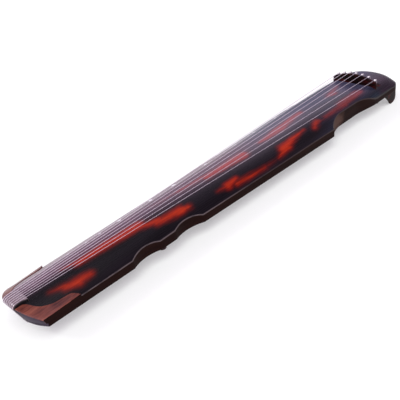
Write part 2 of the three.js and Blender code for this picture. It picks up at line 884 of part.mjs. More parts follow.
function guardProfile() {
  const shape = new THREE.Shape();
  const startX = headEndX - guard.start;
  const hookX = headEndX - guard.hook;
  const toeX = headEndX - guard.toe;
  const endX = headEndX - guard.end;
  const reach = hookX - startX;
  shape.moveTo(startX, -fitGap);
  shape.bezierCurveTo(
    startX + reach * guardShares.startAlong,
    -standHeight * guardShares.startDown,
    startX + reach * guardShares.hookAlong,
    -standHeight * guardShares.hookDown,
    hookX,
    -standHeight,
  );
  shape.lineTo(toeX, -standHeight);
  shape.quadraticCurveTo(
    toeX + (endX - toeX) * guardShares.rearAlong,
    -standHeight * guardShares.rearDown,
    endX,
    -fitGap,
  );
  return shape.getPoints(guard.curveSteps);
}

// The strip of the plan under one side's rim, as wide as a guard is thick
function guardPlan(side) {
  const startX = headEndX - guard.start - overrun;
  const corner = halfOutline().filter((point) => point.x > startX && point.y > guard.thick);
  const rim = [new THREE.Vector2(startX, headHalf), ...corner];
  const outer = rim.map((point) => new THREE.Vector2(point.x, side * point.y));
  const inner = rim.map((point) => new THREE.Vector2(point.x, side * (point.y - guard.thick))).reverse();
  return solidOf(raised(new THREE.Shape([...outer, ...inner]), -standHeight - overrun, 0));
}

[["far", 1], ["near", -1]].forEach(([name, side]) => {
  const reach = headHalf + overrun;
  place(`peg_guard_${name}`, runAcross(guardProfile(), -reach, reach).intersect(guardPlan(side)), blackwood);
});

// Goose feet
function footProfile() {
  return [
    [0, -standHeight],
    [foot.restRadius, -standHeight],
    [foot.flareRadius, -standHeight + foot.toe],
    [foot.flareRadius, -standHeight + foot.toe * 2],
    [foot.neckRadius, -standHeight + foot.flare],
    [foot.neckRadius, -fitGap - foot.collar],
    [foot.collarRadius, -fitGap - foot.collar + foot.collarEase],
    [foot.collarRadius, -fitGap],
    [foot.tenonRadius, -fitGap],
    [foot.tenonRadius, foot.tenon],
    [0, foot.tenon],
  ];
}

[["far", 1], ["near", -1]].forEach(([name, side]) => {
  const block = turned(footProfile(), foot.sides).translate(footX, side * foot.side, 0);
  place(`goose_foot_${name}`, solidOf(block), blackwood);
});

// Sound posts: a round one near the head and a square one near the middle, both under the arch of the hollow
const post = { skyRadius: 6, earthHalf: 6, sides: 16 };
const postShares = { sky: 0.775, earth: 0.45 };

function underCeiling(block) {
  return block.intersect(underArch(-soundboardThick - fitGap, plainGrid));
}

const skyX = alongStrings(postShares.sky);
const earthX = alongStrings(postShares.earth);
const postTop = bodyCrown + overrun;
const skyPost = uprightPin(skyX, 0, post.skyRadius, seam, postTop, post.sides);
const earthPost = boxAcross(earthX - post.earthHalf, earthX + post.earthHalf, post.earthHalf, seam, postTop);
place("sky_post", underCeiling(skyPost), softwood);
place("earth_post", underCeiling(earthPost), softwood);

// Tuning pegs: eight-sided, hanging in the pool, with a bore for the cord
function pegProfile() {
  const top = pool.roof - fitGap;
  const bottom = top - peg.length;
  const neckTop = top - peg.head;
  return [
    [0, bottom],
    [peg.tipRadius, bottom],
    [peg.endRadius, bottom + peg.tip],
    [peg.endRadius, bottom + peg.end],
    [peg.bodyRadius, neckTop - peg.neck - peg.tip],
    [peg.neckRadius, neckTop - peg.neck],
    [peg.neckRadius, neckTop],
    [peg.headRadius, neckTop + peg.tip / 2],
    [peg.headRadius, top],
    [peg.bore, top],
    [peg.bore, top - peg.boreDepth],
    [0, top - peg.boreDepth],
  ];
}

stringDiameters.forEach((_, index) => {
  const block = turned(pegProfile(), peg.sides).translate(eyeX, bridgeSide(index), 0);
  place(`tuning_peg_${index + 1}`, solidOf(block), blackwood);
});

// Strings: from a knot behind the bridge, over the bridge and both gums, and wound on a foot
const knot = { reach: 11.6, halfLength: 3.6, radius: 2.7, sink: 0.6, sides: 8, ringSteps: 6 };
const winding = { turnGap: 0.5, stackGap: 1, stepsPerTurn: 24, top: foot.collar + 1 };
const loopsOn = [2, 2, 2, 2, 3, 3, 3];
const farStringCount = 4;

// Moves an open path sideways, to its left as it runs
function besidePath(path, distance) {
  return path.map((point, index) => {
    const before = path[Math.max(index - 1, 0)];
    const after = path[Math.min(index + 1, path.length - 1)];
    const ahead = new THREE.Vector2().subVectors(after, before).normalize();
    return new THREE.Vector2(point.x + ahead.y * distance, point.y - ahead.x * distance);
  });
}

function windingTop(index) {
  const first = index < farStringCount ? 0 : farStringCount;
  let height = -winding.top;
  for (let above = first; above < index; above += 1) {
    const diameter = stringDiameters[above];
    height -= diameter + loopsOn[above] * (diameter + winding.turnGap) + winding.stackGap;
  }
  return height - stringDiameters[index] / 2;
}

// The coil round the foot's neck, from the point where the straight run meets it
function windingRoute(index, from) {
  const far = index < farStringCount ? 1 : -1;
  const radius = foot.neckRadius + fitGap + stringDiameters[index] / 2;
  const startX = from.x - footX;
  const startY = far * from.y - foot.side;
  const away = Math.hypot(startX, startY);
  const meet = Math.atan2(startY, startX) + Math.acos(radius / away);
  const pitch = stringDiameters[index] + winding.turnGap;
  const count = loopsOn[index] * winding.stepsPerTurn;
  return Array.from({ length: count + 1 }, (_, step) => {
    const turn = meet + (step / winding.stepsPerTurn) * 2 * Math.PI;
    const height = windingTop(index) - (pitch * step) / winding.stepsPerTurn;
    const x = footX + radius * Math.cos(turn);
    return new THREE.Vector3(x, far * (foot.side + radius * Math.sin(turn)), height);
  });
}

function stringRoute(index) {
  const radius = stringDiameters[index] / 2;
  const off = radius + fitGap;
  const y = bridgeSide(index);
  const crest = crestAt(y);
  const turnDown = besidePath(
    [
      new THREE.Vector2(tailReach, gum.crest),
      ...gumNose(),
      ...lowerNose(),
      new THREE.Vector2(lowerGum.back - lowerGum.ease, -lowerGum.depth),
    ],
    off,
  );
  const route = [
    new THREE.Vector3(bridgeX + knot.reach, y, crest + off - knot.sink),
    new THREE.Vector3(bridgeX + bridge.topThick, y, crest + off),
    new THREE.Vector3(bridgeX + bridge.edge, y, crest + off),
    ...turnDown.map((point) => new THREE.Vector3(point.x, tailSide(index), point.y)),
  ];
  return [...route, ...windingRoute(index, route[route.length - 1])];
}

// Least gap of a wound string to itself, between points that lie more than half a turn apart
function leastGap(route, diameter) {
  let least = Infinity;
  const apart = winding.stepsPerTurn / 2;
  route.forEach((point, index) => {
    for (let other = index + apart; other < route.length; other += 1) {
      least = Math.min(least, point.distanceTo(route[other]) - diameter);
    }
  });
  return least;
}

stringDiameters.forEach((diameter, index) => {
  const route = stringRoute(index);
  const line = solidOf(tube(route, diameter / 2, stringSides));
  const ball = new THREE.SphereGeometry(knot.radius, knot.sides, knot.ringSteps);
  ball.scale(knot.halfLength / knot.radius, 1, 1).translate(route[0].x, route[0].y, route[0].z);
  place(`string_${index + 1}`, solidOf(ball).add(line), stringSilk);
  console.log(`string ${index + 1}: least gap to itself ${leastGap(route, diameter).toFixed(2)} mm`);
});

// Cords: from each knot down through its eye into the peg's bore
const cord = { radius: 1.5, sides: 8, inPeg: 11 };
const cordShares = { level: 0.4, shoulder: 0.85, shoulderDrop: 0.16, eyeDrop: 0.45 };

function cordRoute(index) {
  const y = bridgeSide(index);
  const high = crestAt(y) + stringDiameters[index] / 2 + fitGap - knot.sink;
  const startX = bridgeX + knot.reach + knot.halfLength + fitGap;
  const span = eyeX - startX;
  const boardTop = topAt(eyeX, y) + eyeStrip.thick;
  const drop = high - boardTop;
  return [
    new THREE.Vector3(startX, y, high),
    new THREE.Vector3(startX + span * cordShares.level, y, high),
    new THREE.Vector3(startX + span * cordShares.shoulder, y, high - drop * cordShares.shoulderDrop),
    new THREE.Vector3(eyeX, y, high - drop * cordShares.eyeDrop),
    new THREE.Vector3(eyeX, y, boardTop),
    new THREE.Vector3(eyeX, y, pool.roof - cord.inPeg),
  ];
}

stringDiameters.forEach((_, index) => {
  place(`peg_cord_${index + 1}`, solidOf(tube(cordRoute(index), cord.radius, cord.sides)), cordSilk);
});

// The origin lies under the middle of everything, where the feet stand
const tailMost = gum.noseX - fitGap - stringDiameters[0];
instrument.position.set(-(headEndX + tailMost) / 2, 0, standHeight);

const group = new THREE.Group();
group.name = "guqin";
group.add(instrument);

export default group;
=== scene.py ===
# Guqin: the looks of the seven-string zither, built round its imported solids.
# Shapes are worked out in millimetres from the tail end, with height zero at the underside of the bottom
# board and the player on the -Y side. toFrame moves them to the part's own frame, in metres.

import math

import bmesh
import bpy
from mathutils import Matrix, Vector


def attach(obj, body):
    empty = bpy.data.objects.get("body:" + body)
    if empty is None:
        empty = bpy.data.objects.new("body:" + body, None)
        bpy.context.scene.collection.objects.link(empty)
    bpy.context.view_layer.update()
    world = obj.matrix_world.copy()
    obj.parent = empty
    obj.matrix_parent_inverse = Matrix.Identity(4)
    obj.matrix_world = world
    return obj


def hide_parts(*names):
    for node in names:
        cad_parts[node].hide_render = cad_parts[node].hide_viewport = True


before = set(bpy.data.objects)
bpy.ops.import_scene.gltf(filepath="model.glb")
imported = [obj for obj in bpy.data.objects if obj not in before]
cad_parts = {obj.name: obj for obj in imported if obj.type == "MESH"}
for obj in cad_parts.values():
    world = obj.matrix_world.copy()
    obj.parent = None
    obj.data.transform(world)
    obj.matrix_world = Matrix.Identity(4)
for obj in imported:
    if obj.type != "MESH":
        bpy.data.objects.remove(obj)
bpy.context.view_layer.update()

mm = 0.001
body = {
    "stringLength": 1120, "tailReach": 14, "forehead": 120.8, "stand": 32, "fit": 0.3,
    "bottomThick": 10, "bottomEdge": 0.9, "ceiling": 13, "wall": 12, "solidTail": 62, "solidHead": 58,
}
bridgeX = body["tailReach"] + body["stringLength"]
headEndX = bridgeX + body["forehead"]
strings = {
    "diameters": [1.5, 1.35, 1.2, 1.05, 0.95, 0.85, 0.75],
    "bridgeSpacing": 20.5, "tailSpacing": 6.2, "tailCentre": -3.2, "sides": 10, "turnSteps": 40,
    "loops": [2, 2, 2, 2, 3, 3, 3], "farCount": 4, "turnGap": 0.5, "stackGap": 1, "windingTop": 3.6,
    "topSteps": 60, "underSteps": 30,
}
gum = {
    "half": 21.5, "back": 28, "backTop": 46.2, "crest": 50, "shoulder": 10, "fall": 0.7, "nose": 8,
    "noseX": -4.6, "seamX": 6.2, "apron": 16, "edge": 3.2, "seat": 36, "inner": (16, 38), "roomStart": -30,
    "lowerBack": 44, "lowerFace": 9.8, "lowerDrop": 3, "lowerNose": 3, "lowerEase": 6, "lowerInner": (26, 5),
}
tailMost = gum["noseX"] - body["fit"] - strings["diameters"][0]
middleX = (headEndX + tailMost) / 2


def along(share):
    return body["tailReach"] + body["stringLength"] * share


def bridgeSide(index):
    return (3 - index) * strings["bridgeSpacing"]


def toFrame(point):
    return Vector(((point[0] - middleX) * mm, point[1] * mm, (point[2] + body["stand"]) * mm))


def fromFrame(point):
    return point.x / mm + middleX, point.y / mm, point.z / mm - body["stand"]


# Camera, from a fit of the outline, the strings and the marks
camera = {
    "place": (-231.74, -918.63, 731.96), "yaw": 51.660, "pitch": 32.122, "roll": 10.690,
    "lens": 52.56, "sensor": 36, "nearest": 0.01,
}


def makeCamera():
    yaw, pitch, roll = (math.radians(camera[key]) for key in ("yaw", "pitch", "roll"))
    forward = Vector((math.cos(pitch) * math.cos(yaw), math.cos(pitch) * math.sin(yaw), -math.sin(pitch)))
    level = forward.cross(Vector((0, 0, 1))).normalized()
    down = forward.cross(level)
    right = level * math.cos(roll) + down * math.sin(roll)
    down = down * math.cos(roll) - level * math.sin(roll)
    made = bpy.data.objects.new("photo_camera", bpy.data.cameras.new("photo_camera"))
    made.data.lens = camera["lens"]
    made.data.sensor_width = camera["sensor"]
    made.data.clip_start = camera["nearest"]
    turn = Matrix((right, -down, -forward)).transposed()
    made.matrix_world = Matrix.Translation(toFrame(camera["place"])) @ turn.to_4x4()
    bpy.context.scene.collection.objects.link(made)
    bpy.context.scene.camera = made
    bpy.context.scene.view_settings.view_transform = "Standard"


makeCamera()
print("camera placed")


# Shader maths: a link is one output of a node, and sums of links add Math nodes
class Link:
    def __init__(self, finish, socket):
        self.finish = finish
        self.socket = socket

    def maths(self, operation, *values, clamp=False):
        settings = {"operation": operation, "use_clamp": clamp}
        return self.finish.add("ShaderNodeMath", settings, dict(enumerate(values)))

    def __add__(self, other):
        return self.maths("ADD", self, other)

    def __sub__(self, other):
        return self.maths("SUBTRACT", self, other)

    def __mul__(self, other):
        return self.maths("MULTIPLY", self, other)

    def __truediv__(self, other):
        return self.maths("DIVIDE", self, other)

    def __pow__(self, other):
        return self.maths("POWER", self, other)

    def __rsub__(self, other):
        return self.maths("SUBTRACT", other, self)

    def __rtruediv__(self, other):
        return self.maths("DIVIDE", other, self)

    def __rpow__(self, other):
        return self.maths("POWER", other, self)

    __radd__ = __add__
    __rmul__ = __mul__

    def most(self, other):
        return self.maths("MAXIMUM", self, other)

    def held(self):
        return self.maths("ADD", self, 0, clamp=True)

    def size(self):
        return self.maths("ABSOLUTE", self)

    def wave(self):
        return self.maths("SINE", self)

    def ramp(self, low, high):  # 0 below low, 1 above high, smooth between
        values = {"Value": self, "From Min": low, "From Max": high}
        return self.finish.add("ShaderNodeMapRange", {"interpolation_type": "SMOOTHSTEP"}, values)


def setStops(ramp, stops):
    while len(ramp.elements) < len(stops):
        ramp.elements.new(1)
    for element, (place, colour) in zip(ramp.elements, stops):
        element.position = place
        element.color = (*colour, 1)


# A finish is one material; its coordinates are the part's own, in millimetres from the tail end
class Finish:
    def __init__(self, name, **plain):
        self.material = bpy.data.materials.new(name)
        self.material.use_nodes = True
        self.tree = self.material.node_tree
        self.surface = next(node for node in self.tree.nodes if node.type == "BSDF_PRINCIPLED")
        for label, value in plain.items():
            self.surface.inputs[label.replace("_", " ")].default_value = value

    def add(self, kind, settings=None, values=None, output=0):
        node = self.tree.nodes.new(kind)
        for label, value in (settings or {}).items():
            if label == "stops":
                setStops(node.color_ramp, value)
            else:
                setattr(node, label, value)
        for place, value in (values or {}).items():
            if isinstance(value, Link):
                self.tree.links.new(value.socket, node.inputs[place])
            else:
                node.inputs[place].default_value = value
        return Link(self, node.outputs[output])

    def place(self):  # millimetres in the body's own frame
        raw = self.add("ShaderNodeTexCoord", output="Object")
        scaled = self.add("ShaderNodeVectorMath", {"operation": "SCALE"}, {0: raw, "Scale": 1 / mm})
        shift = (middleX, 0, -body["stand"])
        return self.add("ShaderNodeVectorMath", {"operation": "ADD"}, {0: scaled, 1: shift})

    def parts(self, vector):
        node = self.tree.nodes.new("ShaderNodeSeparateXYZ")
        self.tree.links.new(vector.socket, node.inputs[0])
        return [Link(self, output) for output in node.outputs]

    def joined(self, x, y, z):
        return self.add("ShaderNodeCombineXYZ", None, {0: x, 1: y, 2: z})

    def stretched(self, vector, factors):
        return self.add("ShaderNodeVectorMath", {"operation": "MULTIPLY"}, {0: vector, 1: factors})

    def cloud(self, place, stretch, detail=3, rough=0.5, bend=0):  # soft noise from 0 to 1
        values = {"Vector": self.stretched(place, stretch), "Scale": 1}
        values.update({"Detail": detail, "Roughness": rough, "Distortion": bend})
        return self.add("ShaderNodeTexNoise", None, values)

    def mix(self, share, first, second):
        colours = {0: share}
        for index, value in ((6, first), (7, second)):
            colours[index] = value if isinstance(value, Link) else (*value, 1)
        return self.add("ShaderNodeMix", {"data_type": "RGBA"}, colours, output=2)

    def ramped(self, value, stops):
        return self.add("ShaderNodeValToRGB", {"stops": stops}, {0: value})

    def set(self, label, value):
        self.tree.links.new(value.socket, self.surface.inputs[label])

    def bump(self, height, strength, distance=1):
        values = {"Strength": strength, "Distance": distance * mm, "Height": height}
        self.set("Normal", self.add("ShaderNodeBump", None, values))


# Lacquer: black, with cinnabar red rubbed through in soft patches, each a stroke with two half widths
browX = bridgeX + 0.8 * body["forehead"]  # past this the head is rubbed dull
lacquerTone = {
    "black": (0.0036, 0.0030, 0.0036), "bloom": (0.010, 0.0075, 0.011), "blue": (0.010, 0.021, 0.042),
    # rose and slate are a painted sheen, the sky mirrored in the lacquer, lighter towards the far side
    "purple": (0.028, 0.011, 0.028), "rose": (0.120, 0.030, 0.066), "slate": (0.020, 0.034, 0.085),
    # front is a painted reflection, paler and bluish, in front of the bridge
    "front": (0.055, 0.052, 0.090), "brow": (0.006, 0.0042, 0.0065), "sheen": (0.80, 0.64, 0.75),
    "roughness": 0.27, "gloss": 0.12, "frontSheenShare": 0.8,
    "shoulderCoat": 0.55, "headCoat": 0.38, "frontCoat": 0.5, "nearCoat": 0.4, "browCoat": 0,
    "grain": (0.02, 0.5, 0.5), "broad": (0.004, 0.03, 0.03), "streak": (0.02, 0.3, 0.3),
}
lacquerSpot = {  # where each tone or coat starts and where it is whole
    "head": (bridgeX - 10, bridgeX + 30), "brow": (browX - 9, browX + 9), "front": (1030, 1100),
    "frontSheenSide": (-80, -40), "blue": (780, 1000), "slate": (590, 760), "slateWander": 160,
    "wide": (200, 640), "tailSheen": (-26, 14), "headSheen": (-50, 70),
    "middle": (30, 72), "shoulder": (780, 980), "nearLength": (680, 860), "nearSide": (-50, -5),
}
flames = [  # start, end, half width at each, strength
    ((66, -35), (98, -42), 4, 7, 0.85),
    ((98, -45), (122, -50), 8, 10.5, 1.0),
    ((120, -49), (150, -50), 10, 7, 1.0),
    ((118, -4), (165, -15), 6, 10, 0.85),
    ((150, -14), (300, -19), 11, 14, 1.0),
    ((285, -22), (345, -38), 9, 10, 0.9),
    ((335, -40), (400, -46), 9, 13, 0.9),
    ((398, -46), (418, -49), 12, 9, 0.8),
    ((365, 8), (450, 5), 6, 9, 0.5),
    ((440, 3), (540, -3), 10, 12, 0.6),
    ((520, -8), (636, -11), 12, 19, 0.75),
    ((504, -58), (540, -60), 2.5, 10, 0.85),
    ((536, -60), (566, -56), 11, 7, 0.95),
    ((558, -68), (650, -74), 9, 6, 0.8),
    ((648, -74), (690, -75), 6, 4, 0.6),
    ((700, -75), (745, -64), 4, 13, 0.9),
    ((735, -62), (772, -57), 14, 10, 0.95),
    ((770, -56), (828, -53), 10, 5.5, 0.9),
    ((714, -6), (800, -2), 10, 18, 0.7),
    ((795, -1), (890, 10), 17, 12, 0.7),
    ((1012, 8), (1040, 8), 7, 17, 0.6),
    ((1034, 12), (1092, 30), 15, 9, 0.5),
    ((858, -64), (880, -55), 9, 11, 0.75),
    ((880, -55), (902, -62), 8, 8, 0.4),
    ((915, -58), (1000, -56), 11, 15, 0.5),
    ((998, -51), (1080, -47), 17, 18, 0.55),
]
flameTone = {
    "deep": (0.05, 0.004, 0.004), "red": (0.17, 0.007, 0.003), "bright": (0.36, 0.022, 0.004),
    "soft": 10, "wander": 5, "grow": 1.8, "heartStart": 3, "heartEnd": 14, "edges": (0.025, 0.1, 0.1),
}


def flameMasks(x, y, wander):
    whole, heart = None, None
    for (startX, startY), (endX, endY), startHalf, endHalf, strength in flames:
        lengthX, lengthY = endX - startX, endY - startY
        square = lengthX * lengthX + lengthY * lengthY
        run = (((x - startX) * lengthX + (y - startY) * lengthY) / square).held()
        awayX = x - startX - run * lengthX
        awayY = y - startY - run * lengthY
        away = (awayX * awayX * 0.5 + awayY * awayY) ** 0.5
        depth = run * (endHalf - startHalf) + startHalf + flameTone["grow"] - away + wander
        one = depth.ramp(-flameTone["soft"], flameTone["soft"]) * strength
        core = depth.ramp(flameTone["heartStart"], flameTone["heartEnd"])
        whole = one if whole is None else whole.most(one)
        heart = core if heart is None else heart.most(core)
    return whole, heart


def lacquerFinish(name, flamed):
    tone, spot = lacquerTone, lacquerSpot
    finish = Finish(
        name, Roughness=tone["roughness"], Specular_IOR_Level=tone["gloss"], Coat_Roughness=tone["roughness"],
        Specular_Tint=(*tone["sheen"], 1),
    )
    place = finish.place()
    x, y, z = finish.parts(place)
    grain = finish.cloud(place, tone["grain"], 5, 0.6)
    broad = finish.cloud(place, tone["broad"], 2)
    atHead = x.ramp(*spot["head"])
    atFront = x.ramp(*spot["front"]) * (1 - atHead)  # thinner lacquer in front of the bridge, with a paler bluish reflection painted there
    atBrow = x.ramp(*spot["brow"])
    bloom = finish.mix(x.ramp(*spot["blue"]), tone["bloom"], tone["blue"])
    bloom = finish.mix(atHead, bloom, tone["purple"])
    colour = finish.mix(((broad - 0.3) * 1.8).held(), tone["black"], bloom)
    if flamed:
        # painted sheen: rose at the tail to slate towards the head, laid over the far side of the arch
        slate = (x + (broad - 0.5) * spot["slateWander"]).ramp(*spot["slate"])
        sheenHaze = finish.mix(slate, tone["rose"], tone["slate"])
        wide = x.ramp(*spot["wide"])  # the painted sheen comes in over less of the width at the tail
        start, whole = (tail + wide * (head - tail) for tail, head in zip(spot["tailSheen"], spot["headSheen"]))
        colour = finish.mix(y.ramp(start, whole) * (0.4 + broad * 0.6), colour, sheenHaze)
        # painted reflection: a paler bluish tone in front of the bridge, on all but the near edge
        colour = finish.mix(atFront * y.ramp(*spot["frontSheenSide"]) * tone["frontSheenShare"], colour, tone["front"])
        wander = (finish.cloud(place, flameTone["edges"], 4, 0.6) - 0.5) * (2 * flameTone["wander"])
        streak = finish.cloud(place, tone["streak"], 4, 0.65)
        mask, heart = flameMasks(x, y, wander)
        red = finish.mix((mask * 1.1 + (streak - 0.5) * 0.9).held(), flameTone["deep"], flameTone["red"])
        red = finish.mix((heart * (0.1 + streak * 1.7)).held(), red, flameTone["bright"])
        colour = finish.mix((mask * mask * (0.8 + streak * 0.9)).held(), colour, red)
    finish.set("Base Color", finish.mix(atBrow, colour, tone["brow"]))
    coat = 1 - y.size().ramp(*spot["middle"])  # glossiest along the middle, duller towards both edges
    nearSide = x.ramp(*spot["nearLength"]) * (1 - y.ramp(*spot["nearSide"]))
    for share, left in (
        (x.ramp(*spot["shoulder"]), "shoulderCoat"), (atHead, "headCoat"), (atFront, "frontCoat"),
        (atBrow, "browCoat"), (nearSide, "nearCoat"),
    ):
        coat = coat * (1 - share * (1 - tone[left]))
    finish.set("Coat Weight", coat)
    finish.set("Roughness", tone["roughness"] + (grain - 0.5) * 0.16 + (broad - 0.5) * 0.1)
    finish.bump(grain, 0.05, 0.4)
    return finish.material


# The tail's end face, rubbed dull
heelTone = {
    "black": (0.020, 0.014, 0.024), "bloom": (0.085, 0.062, 0.090), "broad": (0.05, 0.03, 0.05), "gloss": 0.1,
}


def heelFinish():
    finish = Finish("lacquer_heel", Specular_IOR_Level=heelTone["gloss"])
    broad = finish.cloud(finish.place(), heelTone["broad"], 4, 0.6)
    finish.set("Base Color", finish.mix(((broad - 0.3) * 1.8).held(), heelTone["black"], heelTone["bloom"]))
    finish.set("Roughness", 0.36 + broad * 0.2)
    return finish.material


# The rounded rim: pale along the waist, a painted highlight as well as wear, and darker towards the head
rimTone = {
    "pale": (0.08, 0.060, 0.060), "red": (0.020, 0.008, 0.007), "black": (0.006, 0.004, 0.005), "gloss": 0.3,
    "patches": (0.03, 0.1, 0.3), "redFrom": (440, 640), "endFrom": (bridgeX - 40, bridgeX + 20),
}


def rimFinish():
    finish = Finish("lacquer_rim", Specular_IOR_Level=rimTone["gloss"])
    place = finish.place()
    x, y, z = finish.parts(place)
    patches = finish.cloud(place, rimTone["patches"], 4, 0.65)
    # the pale is a painted highlight along the rim, as well as wear
    worn = finish.mix(x.ramp(*rimTone["redFrom"]), rimTone["pale"], rimTone["red"])
    shown = (patches - 0.3).ramp(0, 0.22) * (1 - x.ramp(*rimTone["endFrom"]))
    finish.set("Base Color", finish.mix(shown, rimTone["black"], worn))
    finish.set("Roughness", 0.3 + patches * 0.25)
    return finish.material


# Side walls: thin brown lacquer with the wood darkening through, worn to bare wood at the neck
wallTone = {
    "dark": (0.0045, 0.0016, 0.0014), "brown": (0.024, 0.0080, 0.0058), "bare": (0.15, 0.088, 0.068),
    "gloss": 0.03, "grain": (0.015, 0.2, 0.7), "broad": (0.006, 0.02, 0.06), "edges": (0.08, 0.08, 0.12),
    "wornX": 944, "wornZ": 20, "wornLength": 26, "wornHeight": 15, "wornShare": 0.48, "wander": 26,
}


def wallFinish():
    tone = wallTone
    finish = Finish("wall_lacquer", Specular_IOR_Level=tone["gloss"])
    place = finish.place()
    x, y, z = finish.parts(place)
    grain = finish.cloud(place, tone["grain"], 5, 0.6)
    broad = finish.cloud(place, tone["broad"])
    colour = finish.mix((broad * 0.7 + grain * 0.6 - 0.3).held(), tone["dark"], tone["brown"])
    wander = (finish.cloud(place, tone["edges"], 4) - 0.5) * tone["wander"]
    awayX = (x + wander - tone["wornX"]) / tone["wornLength"]
    awayZ = (z + wander * 0.4 - tone["wornZ"]) / tone["wornHeight"]
    worn = 1 - (awayX * awayX + awayZ * awayZ).ramp(0, 2.8)
    finish.set("Base Color", finish.mix(worn * tone["wornShare"], colour, tone["bare"]))
    finish.set("Roughness", 0.3 + grain * 0.16 + worn * 0.2)
    finish.bump(grain, 0.08, 0.4)
    return finish.material


# Woods: pores and growth lines run along each piece
woods = {  # the axis is the one that the growth lines run along
    "rosewood": {
        "stops": [
            (0.25, (0.025, 0.006, 0.005)), (0.42, (0.09, 0.022, 0.015)),
            (0.56, (0.17, 0.046, 0.028)), (0.75, (0.28, 0.09, 0.055)),
        ],
        "roughness": 0.34, "gloss": 0.4, "sheen": (0.62, 0.60, 0.80), "axis": 0, "fineness": 0.4,
    },
    "blackwood": {
        "stops": [
            (0.3, (0.0022, 0.0012, 0.0012)), (0.5, (0.006, 0.0016, 0.0016)), (0.66, (0.06, 0.004, 0.004)),
        ],
        "roughness": 0.32, "gloss": 0.06, "sheen": (1, 1, 1), "axis": 1, "fineness": 0.7,
    },
    "pegwood": {
        "stops": [(0.3, (0.012, 0.005, 0.004)), (0.5, (0.035, 0.014, 0.009)), (0.75, (0.08, 0.032, 0.02))],
        "roughness": 0.3, "gloss": 0.4, "sheen": (1, 1, 1), "axis": 2, "fineness": 0.8,
    },
    "softwood": {
        "stops": [(0.3, (0.30, 0.17, 0.085)), (0.5, (0.46, 0.29, 0.15)), (0.75, (0.58, 0.40, 0.23))],
        "roughness": 0.6, "gloss": 0.4, "sheen": (1, 1, 1), "axis": 0, "fineness": 0.5,
    },
}
growth = {  # how fine each is with the grain and across it
    "lines": (0.05, 1), "pores": (0.09, 2.4), "mottle": (0.02, 0.05), "bend": (0.03, 0.03),
}


def woodFinish(name, wood):
    sheen = (*wood["sheen"], 1)
    finish = Finish(name, Specular_IOR_Level=wood["gloss"], Specular_Tint=sheen)
    place = finish.place()

    def stretch(kind, fineness=1):
        withGrain, across = growth[kind]
        return [(withGrain if axis == wood["axis"] else across) * fineness for axis in range(3)]

    bend = finish.cloud(place, stretch("bend"), 2)
    shift = finish.joined(0, bend * 9, bend * 7)
    bent = finish.add("ShaderNodeVectorMath", {"operation": "ADD"}, {0: place, 1: shift})
    lines = finish.cloud(bent, stretch("lines", wood["fineness"]), 6, 0.62)
    pores = finish.cloud(place, stretch("pores"), 2)
    mottle = finish.cloud(place, stretch("mottle"), 3, 0.55)
    dark = (pores - 0.62).ramp(0, 0.1)
    tone = finish.ramped((lines * 0.65 + mottle * 0.7 - 0.175).held(), wood["stops"])
    finish.set("Base Color", finish.mix(dark * 0.45, tone, wood["stops"][0][1]))
    finish.set("Roughness", wood["roughness"] + (lines - 0.5) * 0.2 + dark * 0.12)
    finish.bump(lines - dark * 0.6, 0.12, 0.3)
    return finish.material


# The gums are dark, worn smooth where the strings press, and painted pale there as a highlight as well as
# wear
gumTone = {
    "black": (0.0045, 0.003, 0.004), "pale": (0.22, 0.16, 0.17), "grain": (0.6, 0.05, 0.6),
    "gloss": 0.15, "coatRough": 0.2, "coatIor": 1.6, "coat": 0.9, "wearAndHighlightFrom": 3, "wearAndHighlightTo": 3.4,
}


def gumFinish():
    finish = Finish(
        "gumwood_wear_and_highlight", Specular_IOR_Level=gumTone["gloss"], Coat_Roughness=gumTone["coatRough"],
        Coat_IOR=gumTone["coatIor"],
    )
    place = finish.place()
    x, y, z = finish.parts(place)
    grain = finish.cloud(place, gumTone["grain"], 4, 0.6)
    spacing = strings["tailSpacing"]
    aside = (y - strings["tailCentre"]).size()
    # the strings' span is painted pale: a highlight as well as wear
    worn = 1 - aside.ramp(spacing * gumTone["wearAndHighlightFrom"], spacing * gumTone["wearAndHighlightTo"])
    finish.set("Base Color", finish.mix(worn * (0.6 + grain * 0.5), gumTone["black"], gumTone["pale"]))
    finish.set("Coat Weight", worn * gumTone["coat"])
    finish.set("Roughness", 0.34 + (grain - 0.5) * 0.16)
    finish.bump(grain, 0.08, 0.3)
    return finish.material


pearlTone = {
    "stops": [
        (0.25, (0.74, 0.88, 0.86)), (0.42, (0.98, 0.94, 0.90)),
        (0.56, (0.86, 0.94, 1.0)), (0.75, (0.98, 0.84, 0.90)),
    ],
    "shimmer": (0.22, 0.16, 0.4), "bend": 1.4, "roughness": 0.16, "ior": 1.6, "coat": 0.6,
}


def pearlFinish():
    tone = pearlTone
    finish = Finish("pearl_shell", Roughness=tone["roughness"], IOR=tone["ior"], Coat_Weight=tone["coat"])
    shimmer = finish.cloud(finish.place(), tone["shimmer"], 4, 0.6, tone["bend"])
    finish.set("Base Color", finish.ramped(shimmer, tone["stops"]))
    finish.bump(shimmer, 0.05, 0.2)
    return finish.material


# Silk: the twist runs round each string
silks = {  # pitch is the length of one twist
    "string": {"pale": (0.80, 0.71, 0.77), "dark": (0.35, 0.30, 0.34), "pitch": 1.6, "roughness": 0.38},
    "knot": {"pale": (0.95, 0.93, 0.93), "dark": (0.72, 0.69, 0.70), "pitch": 2.2, "roughness": 0.7},
    "cord": {"pale": (0.40, 0.35, 0.38), "dark": (0.16, 0.13, 0.15), "pitch": 2.2, "roughness": 0.7},
}


